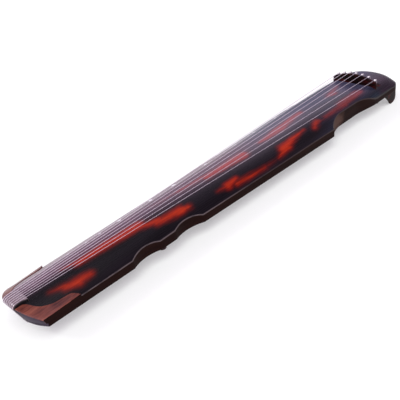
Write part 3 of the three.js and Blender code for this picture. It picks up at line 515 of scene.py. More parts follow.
def silkFinish(name, silk):
    finish = Finish(name, Roughness=silk["roughness"], Sheen_Weight=0.25)
    place = finish.place()
    x, y, z = finish.parts(place)
    twist = ((x + (y + z) * 2.2) * (2 * math.pi / silk["pitch"])).wave() * 0.5 + 0.5
    tint = finish.cloud(place, (0.05, 0.3, 0.3))
    finish.set("Base Color", finish.mix((twist * 0.5 + tint * 0.6).held(), silk["dark"], silk["pale"]))
    finish.bump(twist, 0.35, 0.15)
    return finish.material


finishes = {
    "lacquer": lacquerFinish("lacquer_flamed", True),
    "base": lacquerFinish("lacquer_plain", False),
    "heel": heelFinish(),
    "rim": rimFinish(),
    "wall": wallFinish(),
    "gumwood": gumFinish(),
    "pearl": pearlFinish(),
    **{key: woodFinish(f"{key}_grain", wood) for key, wood in woods.items()},
    **{key: silkFinish(f"{key}_silk", silk) for key, silk in silks.items()},
}
print("finishes made")


# Meshes: pieces that show, and scratch ones that only cut
def newObject(name, points, faces, merged):
    mesh = bpy.data.meshes.new(name)
    mesh.from_pydata([toFrame(point) for point in points], [], faces)
    work = bmesh.new()
    work.from_mesh(mesh)
    if merged:
        bmesh.ops.remove_doubles(work, verts=work.verts, dist=0.00001)
    bmesh.ops.recalc_face_normals(work, faces=work.faces)
    work.to_mesh(mesh)
    work.free()
    piece = bpy.data.objects.new(name, mesh)
    bpy.context.scene.collection.objects.link(piece)
    return piece


def addPiece(name, points, faces, finish, slot, replaced, rider="body", smooth=38):
    piece = newObject(name, points, faces, True)
    shaded(piece.data, smooth)
    for key in finish if isinstance(finish, list) else [finish]:
        piece.data.materials.append(finishes[key])
    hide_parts(*replaced)
    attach(piece, rider)
    return piece


def scratch(points, faces):  # a closed mesh that is only used to cut
    return newObject("scratch", points, faces, False)


flatFrom = 400  # a face of more square millimetres than this is plane


# Smooth up to an angle, with every large plane face left flat
def shaded(mesh, smooth=38):
    mesh.shade_smooth()
    mesh.set_sharp_from_angle(angle=math.radians(smooth))
    for face in mesh.polygons:
        if face.area > flatFrom * mm * mm:
            face.use_smooth = False


def applied(piece):
    graph = bpy.context.evaluated_depsgraph_get()
    mesh = bpy.data.meshes.new_from_object(piece.evaluated_get(graph))
    piece.modifiers.clear()
    piece.data = mesh
    return piece


def bevelled(piece, width, segments=3, angle=40):
    edge = piece.modifiers.new("edge", "BEVEL")
    edge.width = width * mm
    edge.segments = segments
    edge.limit_method = "ANGLE"
    edge.angle_limit = math.radians(angle)
    edge.use_clamp_overlap = False
    return applied(piece)


def cut(piece, cutters):
    for cutter in cutters:
        step = piece.modifiers.new("cut", "BOOLEAN")
        step.operation = "DIFFERENCE"
        step.solver = "EXACT"
        step.object = cutter
    applied(piece)
    for cutter in cutters:
        bpy.data.objects.remove(cutter)
    return piece


def prism(outline, low, high):  # a plan outline between two heights
    count = len(outline)
    points = [(x, y, low) for x, y in outline] + [(x, y, high) for x, y in outline]
    faces = [list(range(count - 1, -1, -1)), list(range(count, 2 * count))]
    faces += [[step, (step + 1) % count, count + (step + 1) % count, count + step] for step in range(count)]
    return points, faces


def quarter(steps):  # the angles of a quarter turn
    return [math.pi / 2 * step / steps for step in range(steps + 1)]


def ringAngles(sides):
    return [2 * math.pi * side / sides for side in range(sides)]


def gridFaces(rows, columns):
    faces = []
    for row in range(rows - 1):
        for column in range(columns - 1):
            here = row * columns + column
            faces.append([here, here + 1, here + columns + 1, here + columns])
    return faces


def gridRim(rows, columns):  # the corners round a grid, in order
    last = rows * columns - 1
    rim = list(range(columns)) + [row * columns - 1 for row in range(2, rows + 1)]
    return rim + list(range(last - 1, last - columns, -1)) + [row * columns for row in range(rows - 2, 0, -1)]


def betweenGrids(top, low, columns):  # a closed block between two grids of points
    layer = len(top)
    faces = []
    for one, two, three, four in gridFaces(layer // columns, columns):
        faces.append([one, two, three, four])
        faces.append([one + layer, four + layer, three + layer, two + layer])
    rim = gridRim(layer // columns, columns)
    faces += [[here, here + layer, after + layer, after] for here, after in zip(rim, rim[1:] + rim[:1])]
    return top + low, faces


def lofted(rings, capped=True):  # closed rings of equal count, joined one to the next
    count = len(rings[0])
    points = [point for ring in rings for point in ring]
    faces = []
    for ring in range(len(rings) - 1):
        for step in range(count):
            here, following = ring * count + step, ring * count + (step + 1) % count
            faces.append([here, following, following + count, here + count])
    if capped:
        last = (len(rings) - 1) * count
        faces += [list(range(count - 1, -1, -1)), list(range(last, last + count))]
    return points, faces


def turnedRings(profile, x, y, sides, shape=None):
    rings = []
    for radius, height in profile:
        ring = []
        for turn in ringAngles(sides):
            out = max(radius, 0.02) * (shape(turn, height) if shape else 1)
            ring.append((x + out * math.cos(turn), y + out * math.sin(turn), height))
        rings.append(ring)
    return rings


def heading(route, index):  # the way that a route runs at one of its points
    return (Vector(route[min(index + 1, len(route) - 1)]) - Vector(route[max(index - 1, 0)])).normalized()


def tubeRings(route, radius, sides):
    rings = []
    across = Vector((0, 1, 0))
    for index, point in enumerate(route):
        ahead = heading(route, index)
        across = (across - ahead * across.dot(ahead)).normalized()
        up = ahead.cross(across)
        rings.append([
            tuple(Vector(point) + across * radius * math.cos(turn) + up * radius * math.sin(turn))
            for turn in ringAngles(sides)
        ])
    return rings


def joinedMeshes(*pairs):
    points, faces = [], []
    for morePoints, moreFaces in pairs:
        start = len(points)
        points += morePoints
        faces += [[start + corner for corner in face] for face in moreFaces]
    return points, faces


# Outline of the body: half width at each place along it
outline = {
    "tail": 72.3, "lowerWaist": 75, "land": 73.9, "upperWaist": 79.4, "shoulder": 94.2, "neck": 71.6,
    "head": 82.2, "lowerScallop": 8.6, "upperScallop": 8.9, "tailRound": 22.8, "tailEnd": 7.8,
    "tailLean": 0.3, "headCorner": 46, "headFullness": 2.8, "roundShare": 0.45, "sweepShare": 0.55,
    "sweepPower": 1.5, "slopeReach": 0.2, "tailReach": 40,
}
places = {
    "waist": along(0.198), "landStart": along(0.266), "landEnd": along(0.304), "upper": along(0.375),
    "corner": along(0.793), "neckStart": along(0.843), "neckEnd": along(0.908), "head": along(0.99),
}
tailRadius = (outline["tail"] ** 2 + outline["tailRound"] ** 2) / (2 * outline["tailRound"])
tailCorner = outline["tailEnd"] + outline["tailRound"]
headCorner = headEndX - outline["headCorner"]


def straight(x, startX, endX, start, end):
    return start + (end - start) * (x - startX) / (endX - startX)


def scalloped(x, startX, endX, start, end, depth):
    length = math.hypot(endX - startX, end - start)
    ahead = ((endX - startX) / length, (end - start) / length)
    radius = (length * length / 4 + depth * depth) / (2 * depth)
    centreX = (startX + endX) / 2 - ahead[1] * (radius - depth)
    centreY = (start + end) / 2 + ahead[0] * (radius - depth)
    return centreY - math.sqrt(max(radius * radius - (x - centreX) ** 2, 0))


def sideAt(x):  # half width of the long side, carried on past its ends
    at, side = places, outline
    if x < at["waist"]:
        return straight(x, tailCorner, at["waist"], side["tail"], side["lowerWaist"])
    if x < at["landStart"]:
        depth = side["lowerScallop"]
        return scalloped(x, at["waist"], at["landStart"], side["lowerWaist"], side["land"], depth)
    if x < at["landEnd"]:
        return side["land"]
    if x < at["upper"]:
        depth = side["upperScallop"]
        return scalloped(x, at["landEnd"], at["upper"], side["land"], side["upperWaist"], depth)
    if x < at["corner"]:
        return straight(x, at["upper"], at["corner"], side["upperWaist"], side["shoulder"])
    if x < at["neckStart"]:
        left = 1 - (x - at["corner"]) / (at["neckStart"] - at["corner"])
        rounded = side["roundShare"] * (1 - math.sqrt(1 - left * left))
        swept = side["sweepShare"] * left ** side["sweepPower"]
        return side["neck"] + (side["shoulder"] - side["neck"]) * (rounded + swept)
    share = min(max((x - at["neckEnd"]) / (at["head"] - at["neckEnd"]), 0), 1)
    return side["neck"] + (side["head"] - side["neck"]) * share * share * (3 - 2 * share)


def tailAt(y, z):
    return outline["tailEnd"] + tailRadius - math.sqrt(tailRadius ** 2 - y * y) - outline["tailLean"] * z


def headRound(share):  # the head's rounded end, from 1 at its middle to 0 at its corner
    return (1 - min(share, 1) ** outline["headFullness"]) ** (1 / outline["headFullness"])


def headAt(y):
    return headCorner + outline["headCorner"] * headRound(abs(y) / outline["head"])


def halfAt(x):  # half width of the whole outline, the head's rounded end too
    if x <= headCorner:
        return sideAt(x)
    return outline["head"] * headRound((x - headCorner) / outline["headCorner"])


def edgeDistance(x, y, z):  # how far a point lies inside the outline
    reach = outline["slopeReach"]
    slope = (halfAt(x + reach) - halfAt(x - reach)) / (2 * reach)
    side = (halfAt(x) - abs(y)) / math.sqrt(1 + slope * slope)
    if x > headCorner:
        side = min(side, headAt(y) - x)
    if x < tailCorner + outline["tailReach"]:
        lean = y / math.sqrt(tailRadius ** 2 - y * y)
        side = min(side, (x - tailAt(y, z)) / math.sqrt(1 + lean * lean))
    return max(side, 0)


# Arch of the soundboard: place, half width, crown, rim and fullness
arch = [
    (outline["tailEnd"] - 20, 72.3, 45.2, 20.8, 1.85),
    (along(0), 72.3, 45.2, 20.8, 1.85),
    (along(0.09), 72.3, 47.6, 20.8, 1.88),
    (places["waist"], 75, 50, 20.8, 1.9),
    (places["upper"], 79.4, 50, 20.8, 2),
    (along(0.6), 86.8, 50, 20.8, 2.3),
    (places["corner"], 94.2, 50, 20.8, 3.2),
    (places["neckEnd"], 88.2, 46.5, 17.9, 5.5),
    (places["head"], 82.2, 43.8, 15, 10),
    (bridgeX + 0.5 * body["forehead"], 82.2, 42.8, 15, 7),
    (bridgeX + 0.81 * body["forehead"], 82.2, 40.6, 12.75, 3),
    (bridgeX + 0.92 * body["forehead"], 82.2, 32.5, 10.5, 1.7),
    (headEndX, 82.2, 16, 10.5, 1.7),
    (headEndX + 20, 82.2, 10.5, 10.5, 1.7),
]


def archValues(x):
    last = len(arch) - 2
    index = next((place for place, station in enumerate(arch) if station[0] > x), last + 1) - 1
    index = min(max(index, 0), last)
    start, end = arch[index], arch[index + 1]
    before, after = arch[max(index - 1, 0)], arch[min(index + 2, last + 1)]
    span = end[0] - start[0]
    share = min(max((x - start[0]) / span, 0), 1)
    square, cube = share * share, share ** 3
    values = []
    for key in range(1, 5):
        rise = (end[key] - before[key]) / (end[0] - before[0]) * span
        fall = (after[key] - start[key]) / (after[0] - start[0]) * span
        values.append(
            (2 * cube - 3 * square + 1) * start[key] + (cube - 2 * square + share) * rise
            + (3 * square - 2 * cube) * end[key] + (cube - square) * fall
        )
    return values


def topAt(x, y):
    half, crown, rim, fullness = archValues(x)
    return rim + (crown - rim) * (1 - min(abs(y) / half, 1) ** fullness)


# Soundboard: a fine arch with a rounded rim, and walls down to the bottom board
boardPaints = ["lacquer", "wall", "softwood", "rim", "heel"]
bottomPaints = ["base", "wall", "heel"]
endOn = -0.75  # a face whose normal has less than this along X looks out past the tail
cutting = {  # heights that the cutting blocks reach, clear of what they cut
    "low": -20, "bottomHigh": 30, "high": 80, "hollow": 5, "padLow": -10, "padHigh": 70,
    "eyeLow": 20, "eyeHigh": 70,
}
board = {
    "rim": 1.8, "rimSteps": 5, "step": 9, "columns": 34, "seam": 10.06, "nearStep": 2.5, "nearReach": 40,
    "tailBlend": 160, "headBlend": 200, "leanReach": 30, "leanFade": 40,
    "rimShare": 0.6, "rimFacing": (0.12, 0.9), "topFacing": 0.28, "wallReach": 2.4,
}


def boardRows():
    marks = [tailCorner, *sorted(places.values()), headCorner]
    finer = {places["corner"]: 5, places["waist"]: 2, places["landEnd"]: 2, places["neckEnd"]: 2}
    rows = []
    for start, end in zip(marks, marks[1:]):
        count = max(math.ceil((end - start) / (board["step"] / finer.get(start, 1))), 1)
        rows += [start + (end - start) * index / count for index in range(count)]
    rows.append(headCorner)
    near = [row for row in rows if tailCorner + board["nearReach"] < row < headCorner - board["nearReach"]]
    steps = int(board["nearReach"] / board["nearStep"])
    tail = [tailCorner + board["nearStep"] * index for index in range(steps + 1)]
    head = [headCorner - board["nearStep"] * index for index in range(steps, -1, -1)]
    return tail + near + head


def boardPoint(row, share, endInset, sideInset):
    # row is a place along the side and share one across; the insets lead inwards, the head's with a minus
    x = row
    for _ in range(4):
        y = (sideAt(x) - sideInset) * share
        z = topAt(x, y)
        tail = max(1 - (row - tailCorner) / board["tailBlend"], 0) ** 2
        head = max(1 - (headCorner - row) / board["headBlend"], 0) ** 2
        x = row + (tailAt(y, z) + max(endInset, 0) - tailCorner) * tail
        x += (headAt(y) + min(endInset, 0) - headCorner) * head
    return x, y, z


def boardGrid():
    rim, count = board["rim"], board["columns"]
    insets = [rim * (1 - math.cos(turn)) for turn in quarter(board["rimSteps"])[:-1]]
    rows = boardRows()
    marks = [(rows[0], inset) for inset in insets]
    marks += [(row, rim if row == rows[0] else -rim if row == rows[-1] else 0) for row in rows]
    marks += [(rows[-1], -inset) for inset in reversed(insets)]
    columns = [(-1, inset) for inset in insets]
    columns += [(math.sin(math.pi / 2 * (2 * step / count - 1)), rim) for step in range(count + 1)]
    columns += [(1, inset) for inset in reversed(insets)]
    grid = []
    for row, endInset in marks:
        line = []
        for share, sideInset in columns:
            x, y, z = boardPoint(row, share, endInset, sideInset)
            left = 1 - min(edgeDistance(x, y, z) / rim, 1)
            line.append((x, y, z - rim * (1 - math.sqrt(max(1 - left * left, 0)))))
        grid.append(line)
    return grid


def boardBlock(bottom):
    grid = boardGrid()
    points = [point for line in grid for point in line]
    faces = gridFaces(len(grid), len(grid[0]))
    rim = gridRim(len(grid), len(grid[0]))
    start, count = len(points), len(rim)
    for corner in rim:  # the tail's end wall leans back, less and less round its corners
        x, y, z = points[corner]
        past = x - tailAt(min(abs(y), outline["tail"] - 0.1), z)
        leans = x < tailCorner + 2 and past < board["leanReach"]
        lean = outline["tailLean"] * (z - bottom) if leans else 0
        points.append((x + lean * max(1 - max(past, 0) / board["leanFade"], 0), y, bottom))
    for step in range(count):
        after = (step + 1) % count
        faces.append([rim[step], rim[after], start + after, start + step])
    faces.append([start + step for step in range(count)])
    return points, faces


def oblong(x, alongHalf, acrossHalf, corner, steps=8):
    points = []
    for cornerX, cornerY, start in ((1, -1, -90), (1, 1, 0), (-1, 1, 90), (-1, -1, 180)):
        for step in range(steps + 1):
            turn = math.radians(start + 90 * step / steps)
            points.append((
                x + cornerX * (alongHalf - corner) + corner * math.cos(turn),
                cornerY * (acrossHalf - corner) + corner * math.sin(turn),
            ))
    return points


openings = {  # place, half length, half width and corner radius
    "dragon": (along(0.644), 105, 13.5, 13), "phoenix": (along(0.18), 53, 13.5, 13),
}
pad = {"depth": 4.5, "margin": 9, "half": 40, "reach": 30}
bridge = {
    "crest": 69.4, "drop": 11.4, "half": 72, "roundStart": 65, "endHeight": 47, "topThick": 8,
    "footLean": 2.8, "edge": 2.2, "outer": 61.5, "lift": 0.05, "endPinch": 0.25,
}
eyes = {
    "length": 17, "thick": 1.7, "half": 69.5, "radius": 2.3, "sides": 24, "edge": 0.35,
    "easeFrom": 3, "endShare": 0.3, "sunk": 0.4,
}
eyeX = bridgeX + bridge["topThick"] + bridge["footLean"] + body["fit"] + eyes["length"] / 2
pool = {"plan": (eyeX, 15.5, 70, 7), "roof": 14}


def archBlock(startX, endX, halfWidth, bottom, lift, rowCount, columnCount):
    # closed block under the arch, for the hollow and its pads
    top, low = [], []
    for row in range(rowCount + 1):
        x = startX + (endX - startX) * row / rowCount
        half = halfWidth(x)
        for column in range(columnCount + 1):
            y = half * math.sin(math.pi / 2 * (2 * column / columnCount - 1))
            top.append((x, y, topAt(x, y) + lift))
            low.append((x, y, bottom))
    return scratch(*betweenGrids(top, low, columnCount + 1))


def gumRoom(endX, low, high):  # the place of a gum, open past the tail end
    half, centre, startX = gum["half"] + body["fit"], strings["tailCentre"], gum["roomStart"]
    shape = [(startX, centre - half), (endX, centre - half), (endX, centre + half), (startX, centre + half)]
    return scratch(*prism(shape, low, high))


def eyeBores(low, high):
    heights = [(eyes["radius"], low), (eyes["radius"], high)]
    return [lofted(turnedRings(heights, eyeX, bridgeSide(index), eyes["sides"])) for index in range(7)]


def makeSoundboard():
    points, faces = boardBlock(board["seam"])
    piece = addPiece("lacquered_soundboard", points, faces, boardPaints, "lacquer", ["soundboard"])
    hollow = archBlock(
        body["solidTail"], bridgeX - body["solidHead"], lambda x: sideAt(x) - body["wall"],
        cutting["hollow"], -body["ceiling"], 70, 14,
    )
    pads = []
    for x, alongHalf, acrossHalf, corner in openings.values():
        margin, reach = pad["margin"], alongHalf + pad["reach"]
        shape = oblong(x, alongHalf + margin, acrossHalf + margin, corner + margin)
        level = -body["ceiling"] - pad["depth"]
        under = archBlock(x - reach, x + reach, lambda _: pad["half"], cutting["padLow"], level, 20, 10)
        pads.append(cut(scratch(*prism(shape, 0, cutting["padHigh"])), [under]))
    cut(hollow, pads)
    cut(piece, [
        hollow,
        scratch(*prism(oblong(*pool["plan"]), 0, pool["roof"])),
        gumRoom(gum["back"], gum["seat"], cutting["high"]),
        gumRoom(gum["apron"], 0, cutting["high"]),
        scratch(*joinedMeshes(*eyeBores(pool["roof"] - 2, 60))),
    ])
    paintBoard(piece)


# Walls and underside take their own finishes, by which way each face looks and where it lies
def paintBoard(piece):
    rimLow, rimHigh = board["rimFacing"]
    for face in piece.data.polygons:
        x, y, z = fromFrame(face.center)
        up, inside = face.normal.z, edgeDistance(x, y, z)
        atSide = inside < board["wallReach"]
        onRim = inside < board["rim"] * board["rimShare"] and rimLow < up < rimHigh
        if onRim and tailCorner < x < browX:
            paint = "rim"
        elif up > board["topFacing"]:
            paint = "lacquer"
        elif atSide and face.normal.x < endOn and x < tailCorner:
            paint = "heel"
        elif (atSide and abs(up) < rimHigh) or z < board["seam"] + 1:
            paint = "wall"
        else:
            paint = "softwood"
        face.material_index = boardPaints.index(paint)
    shaded(piece.data)


makeSoundboard()
print("soundboard made")


# Bottom board with its three openings, eased along every edge
def outlineLoop():
    half = [(tailAt(outline["tail"] * step / 18, 0), outline["tail"] * step / 18) for step in range(19)]
    half += [(row, sideAt(row)) for row in boardRows()[1:-1] if row > tailCorner + 1]
    power = 2 / outline["headFullness"]
    for turn in quarter(24):
        x = headCorner + outline["headCorner"] * math.sin(turn) ** power
        half.append((x, outline["head"] * math.cos(turn) ** power))
    return half + [(x, -y) for x, y in reversed(half[1:-1])]


def makeBottomBoard():
    points, faces = prism(outlineLoop(), 0, body["bottomThick"])
    piece = addPiece("lacquered_bottom", points, faces, bottomPaints, "lacquer", ["bottom_board"])
    low, high = cutting["low"], cutting["bottomHigh"]
    plans = [*openings.values(), pool["plan"]]
    cutters = [scratch(*prism(oblong(*plan), low, high)) for plan in plans]
    cut(piece, [*cutters, gumRoom(gum["lowerBack"], low, high)])
    bevelled(piece, body["bottomEdge"], 3, 50)
    for face in piece.data.polygons:
        x, y, z = fromFrame(face.center)
        if abs(face.normal.z) < 0.7 and edgeDistance(x, y, body["bottomThick"] / 2) < 2:
            paint = "heel" if face.normal.x < endOn and x < tailCorner else "wall"
            face.material_index = bottomPaints.index(paint)
    shaded(piece.data)


makeBottomBoard()
print("bottom board made")


# Bridge: sections across, each with rounded top edges, on the arch
def crestAt(y):
    reach = min(abs(y), bridge["roundStart"])
    height = bridge["crest"] - bridge["drop"] * (reach / bridge["outer"]) ** 2
    past = min(max((abs(y) - bridge["roundStart"]) / (bridge["half"] - bridge["roundStart"]), 0), 1)
    return bridge["endHeight"] + (height - bridge["endHeight"]) * math.sqrt(1 - past * past)


def makeBridge():
    rings = []
    start, half, edge = bridge["roundStart"], bridge["half"], bridge["edge"]
    thick, lean = bridge["topThick"], bridge["footLean"]
    sides = [start * step / 30 for step in range(-30, 31)]
    ends = [start + (half - start) * math.sin(turn) for turn in quarter(10)[1:]]
    for y in sorted([*sides, *ends, *(-end for end in ends)]):
        top = crestAt(y)
        foot = topAt(bridgeX, y) + bridge["lift"]
        past = max((abs(y) - start) / (half - start), 0)
        pinch = math.sqrt(max(1 - past ** 2, 0)) * (1 - bridge["endPinch"]) + bridge["endPinch"]
        ease = [(edge * math.cos(turn), top - edge + edge * math.sin(turn)) for turn in quarter(5)]
        ring = [(-lean, foot)]
        ring += [(edge - x, z) for x, z in ease]
        ring += [(thick - edge + x, z) for x, z in reversed(ease)]
        ring.append((thick + lean, foot))
        rings.append([(bridgeX + thick / 2 + (x - thick / 2) * pinch, y, z) for x, z in ring])
    addPiece("arched_bridge", *lofted(rings), "blackwood", "blackwood", ["bridge"], smooth=50)


makeBridge()


# Strip behind the bridge, with seven eyes for the cords
def makeEyeStrip():
    rows, columns = 6, 60
    top, low = [], []
    for row in range(rows + 1):
        x = eyeX - eyes["length"] / 2 + eyes["length"] * row / rows
        for column in range(columns + 1):
            y = eyes["half"] * (2 * column / columns - 1)
            left = min((eyes["half"] - abs(y)) / eyes["easeFrom"], 1)
            thick = eyes["thick"] * (left * (1 - eyes["endShare"]) + eyes["endShare"])
            top.append((x, y, topAt(x, y) + thick))
            low.append((x, y, topAt(x, y) - eyes["sunk"]))
    points, faces = betweenGrids(top, low, columns + 1)
    piece = addPiece("eye_strip_plate", points, faces, "blackwood", "blackwood", ["eye_strip"])
    cut(piece, [scratch(*bore) for bore in eyeBores(cutting["eyeLow"], cutting["eyeHigh"])])
    bevelled(piece, eyes["edge"], 2, 50)


makeEyeStrip()
print("bridge and eye strip made")


# Gums: a profile in X and Z, run across the tail, with eased side edges
def arcPoints(startX, startZ, endX, endZ, steps, outerFirst):
    points = []
    wide, high = endX - startX, endZ - startZ
    for turn in quarter(steps):
        if outerFirst:
            points.append((startX + wide * math.sin(turn), endZ - high * math.cos(turn)))
        else:
            points.append((startX + wide * (1 - math.cos(turn)), startZ + high * math.sin(turn)))
    return points


def gumNose():
    sideZ = gum["crest"] - gum["fall"]
    startX = body["tailReach"] - gum["shoulder"]
    return arcPoints(startX, sideZ, gum["noseX"], sideZ - gum["nose"], 10, True)


def lowerNose():
    return arcPoints(gum["lowerFace"], 0, gum["lowerFace"] + gum["lowerNose"], -gum["lowerDrop"], 6, False)


def makeGum(name, node, profile, inner):
    # inner is the place in X and Z that the eased side edges draw in to
    edge, half = gum["edge"], gum["half"]
    sides = [(half - edge + edge * math.sin(turn), edge * (1 - math.cos(turn))) for turn in quarter(6)]
    rings = []
    for y, ease in [(-y, ease) for y, ease in reversed(sides)] + sides:
        ring = []
        for x, z in profile:
            towards = Vector((inner[0] - x, inner[1] - z))
            towards = towards.normalized() * min(ease, towards.length * 0.6)
            ring.append((x + towards.x, strings["tailCentre"] + y, z + towards.y))
        rings.append(ring)
    addPiece(name, *lofted(rings), "gumwood", "blackwood", [node])


def makeGums():
    fit, thick, back = body["fit"], body["bottomThick"], gum["lowerBack"]
    seam, low, apron = thick + 0.1, gum["seat"] + 1, gum["apron"] - fit
    upper = [(gum["back"], low), (gum["back"], gum["backTop"]), (body["tailReach"], gum["crest"]), *gumNose()]
    upper += [(gum["seamX"], seam), (apron, seam), (apron, low)]
    makeGum("tail_gum_block", "tail_gum", upper, gum["inner"])
    lower = [(back - fit, thick), (gum["seamX"], thick), *lowerNose()]
    lower += [(back - gum["lowerEase"], -gum["lowerDrop"]), (back - fit, 0)]
    makeGum("lower_gum_block", "lower_gum", lower, gum["lowerInner"])


makeGums()


# Crown corners: hardwood let into the two tail corners, a little proud of the lacquer
crown = {
    "thick": 9.5, "proud": 1, "proudSide": 0.25, "edge": 1.1, "lip": 3.1, "lipStart": 42, "lipPower": 6,
    "tip": 109,
    "inner": [  # from the gum round to the tip; the gum's side sets the first one's second value
        (14, None), (21, 30.5), (28, 41), (36, 48.6), (46, 53.3), (60, 57.4), (74, 58.6), (87, 59.4),
        (97, 61.2), (105, 67.5),
    ],
    "cornerShare": 0.4, "steps": 60, "across": 10, "tipWidth": 0.4, "overSeam": 0.4, "mostInset": 0.45,
}


def crownTop(x, y):
    rise = min(max((x - crown["lipStart"]) / (crown["tip"] - crown["lipStart"]), 0), 1)
    lip = crown["lip"] * rise * min(abs(y) / archValues(x)[0], 1) ** crown["lipPower"]
    return topAt(x, y) + crown["proud"] + lip


def smoothLine(points, share):  # a point on a smooth line through points, by share of its length in points
    place = share * (len(points) - 1)
    index = min(int(place), len(points) - 2)
    t = place - index
    p = [Vector(points[min(max(index + step, 0), len(points) - 1)]) for step in (-1, 0, 1, 2)]
    return 0.5 * (2 * p[1] + (p[2] - p[0]) * t + (2 * p[0] - 5 * p[1] + 4 * p[2] - p[3]) * t * t
                  + (3 * p[1] - p[0] - 3 * p[2] + p[3]) * t ** 3)


def crownOuter(share, start, depth):
    # the outline from the gum along the tail end, round the corner and along the side
    out = crown["proudSide"]
    if share < crown["cornerShare"]:
        y = start + (outline["tail"] - start) * share / crown["cornerShare"]
        z = topAt(tailAt(y, 25), y) + depth
        return tailAt(y, z) - out, y + out * share
    run = (share - crown["cornerShare"]) / (1 - crown["cornerShare"])
    z = topAt(tailCorner, outline["tail"]) + depth
    cornerX = tailCorner - outline["tailLean"] * z
    x = cornerX + (crown["tip"] - cornerX) * run
    return x - out * (1 - run), sideAt(x) + out


def makeCrownCorner(name, side):
    start = gum["half"] + side * strings["tailCentre"] + body["fit"]
    tip = (crown["tip"], sideAt(crown["tip"]) - crown["tipWidth"])
    inner = [(crown["inner"][0][0], start), *crown["inner"][1:], tip]
    edge, across = crown["edge"], crown["across"]
    layers = [(edge * (1 - math.sin(turn)), -edge * (1 - math.cos(turn))) for turn in quarter(4)]
    rings = []
    for index in range(crown["steps"] + 1):
        share = index / crown["steps"]
        nearLine = smoothLine(inner, share)
        farTop = Vector(crownOuter(share, start, 0))
        farLow = Vector(crownOuter(share, start, -crown["thick"]))
        span = farTop - nearLine
        length = max(span.length, 0.2)
        spots = [(min(inset / length, crown["mostInset"]), drop) for inset, drop in layers]
        line = list(reversed(spots)) + [(0.02 + 0.96 * step / across, 0) for step in range(1, across)]
        line = [(nearLine + span * part, drop) for part, drop in line]
        line += [(farTop - span * part, drop) for part, drop in spots]
        ring = [(point.x, point.y, crownTop(point.x, point.y) + drop) for point, drop in line]
        for point in (farLow, nearLine):
            low = topAt(point.x, point.y) - crown["thick"]
            ring.append((point.x, point.y, max(low, board["seam"] + crown["overSeam"])))
        rings.append([(x, side * y, z) for x, y, z in ring])
    paints, nodes = ["rosewood", "wall"], [f"crown_corner_{name}"]
    piece = addPiece(f"{name}_crown_corner", *lofted(rings), paints, "rosewood", nodes, smooth=46)
    for face in piece.data.polygons:
        if face.normal.y * side > 0.75:  # the outer side is lacquered like the wall
            face.material_index = 1


bothSides = (("far", 1), ("near", -1))
for sideName, sideSign in bothSides:
    makeCrownCorner(sideName, sideSign)
print("gums and crown corners made")


# Pearl marks: thin domed discs set square to the arch
marks = {
    "shares": [1 / 8, 1 / 6, 1 / 5, 1 / 4, 1 / 3, 2 / 5, 1 / 2, 3 / 5, 2 / 3, 3 / 4, 4 / 5, 5 / 6, 7 / 8],
    "tailY": 29.6, "bridgeY": 72.9, "middle": 5.6, "end": 3.6, "low": -1, "edgeHeight": 0.04, "edge": 0.12,
    "proud": 0.12, "dome": 0.14, "sides": 40,
}


def makeMark(index):
    share = 1 - marks["shares"][index]
    x = along(share)
    y = marks["tailY"] + (marks["bridgeY"] - marks["tailY"]) * share
    radius = marks["middle"] + (marks["end"] - marks["middle"]) * abs(index - 6) / 6
    slopeX = (topAt(x + radius, y) - topAt(x - radius, y)) / (2 * radius)
    slopeY = (topAt(x, y + radius) - topAt(x, y - radius)) / (2 * radius)
    turn = Vector((0, 0, 1)).rotation_difference(Vector((-slopeX, -slopeY, 1)).normalized())
    proud, dome = marks["proud"], marks["dome"]
    profile = [(radius, marks["low"]), (radius, marks["edgeHeight"]), (radius - marks["edge"], proud)]
    profile += [(radius * part, proud + dome * (1 - part * part)) for part in (0.8, 0.5, 0.2)]
    points, faces = lofted(turnedRings(profile, 0, 0, marks["sides"]))
    centre = Vector((x, y, topAt(x, y)))
    points = [tuple(centre + turn @ Vector(point)) for point in points]
    number = f"{index + 1:02d}"
    addPiece(f"pearl_mark_{number}", points, faces, "pearl", "pearl", [f"hui_{number}"])


for markIndex in range(13):
    makeMark(markIndex)
print("pearl marks made")


# Peg guards: broad under the board and drawn in to a small toe
guard = {
    "start": 85, "hook": 57.8, "toe": 53, "end": 18.8, "thick": 6.5, "edge": 0.9, "inset": 0.3,
    "front": [(0.4, 0.35), (0.93, 0.7)], "back": (0.86, 0.91),  # shares of the run and of the depth
}


def bezier(points, steps):  # a curve drawn towards its points, without the first one
    line = []
    for step in range(1, steps + 1):
        level = [Vector(point) for point in points]
        while len(level) > 1:
            level = [first.lerp(second, step / steps) for first, second in zip(level, level[1:])]
        line.append(tuple(level[0]))
    return line


def guardProfile():
    depth = -body["stand"]
    start, hook, toe, end = (headEndX - guard[key] for key in ("start", "hook", "toe", "end"))
    top = -body["fit"] / 3
    run = hook - start
    front = [(start, 0), *((start + run * share, depth * down) for share, down in guard["front"])]
    front.append((hook, depth))
    back = [(toe, depth), (toe + (end - toe) * guard["back"][0], depth * guard["back"][1]), (end, top)]
    return [(start, top), *bezier(front, 12), (toe, depth), *bezier(back, 14)]


def makeGuard(name, side):
    outer = [(x, halfAt(x) - guard["inset"], z) for x, z in guardProfile()]
    inner = [(x, y - guard["thick"], z) for x, y, z in outer]
    rings = [[(x, side * y, z) for x, y, z in ring] for ring in (inner, outer)]
    nodes = [f"peg_guard_{name}"]
    piece = addPiece(f"{name}_peg_guard", *lofted(rings), "blackwood", "blackwood", nodes)
    bevelled(piece, guard["edge"], 3, 50)


for sideName, sideSign in bothSides:
    makeGuard(sideName, sideSign)


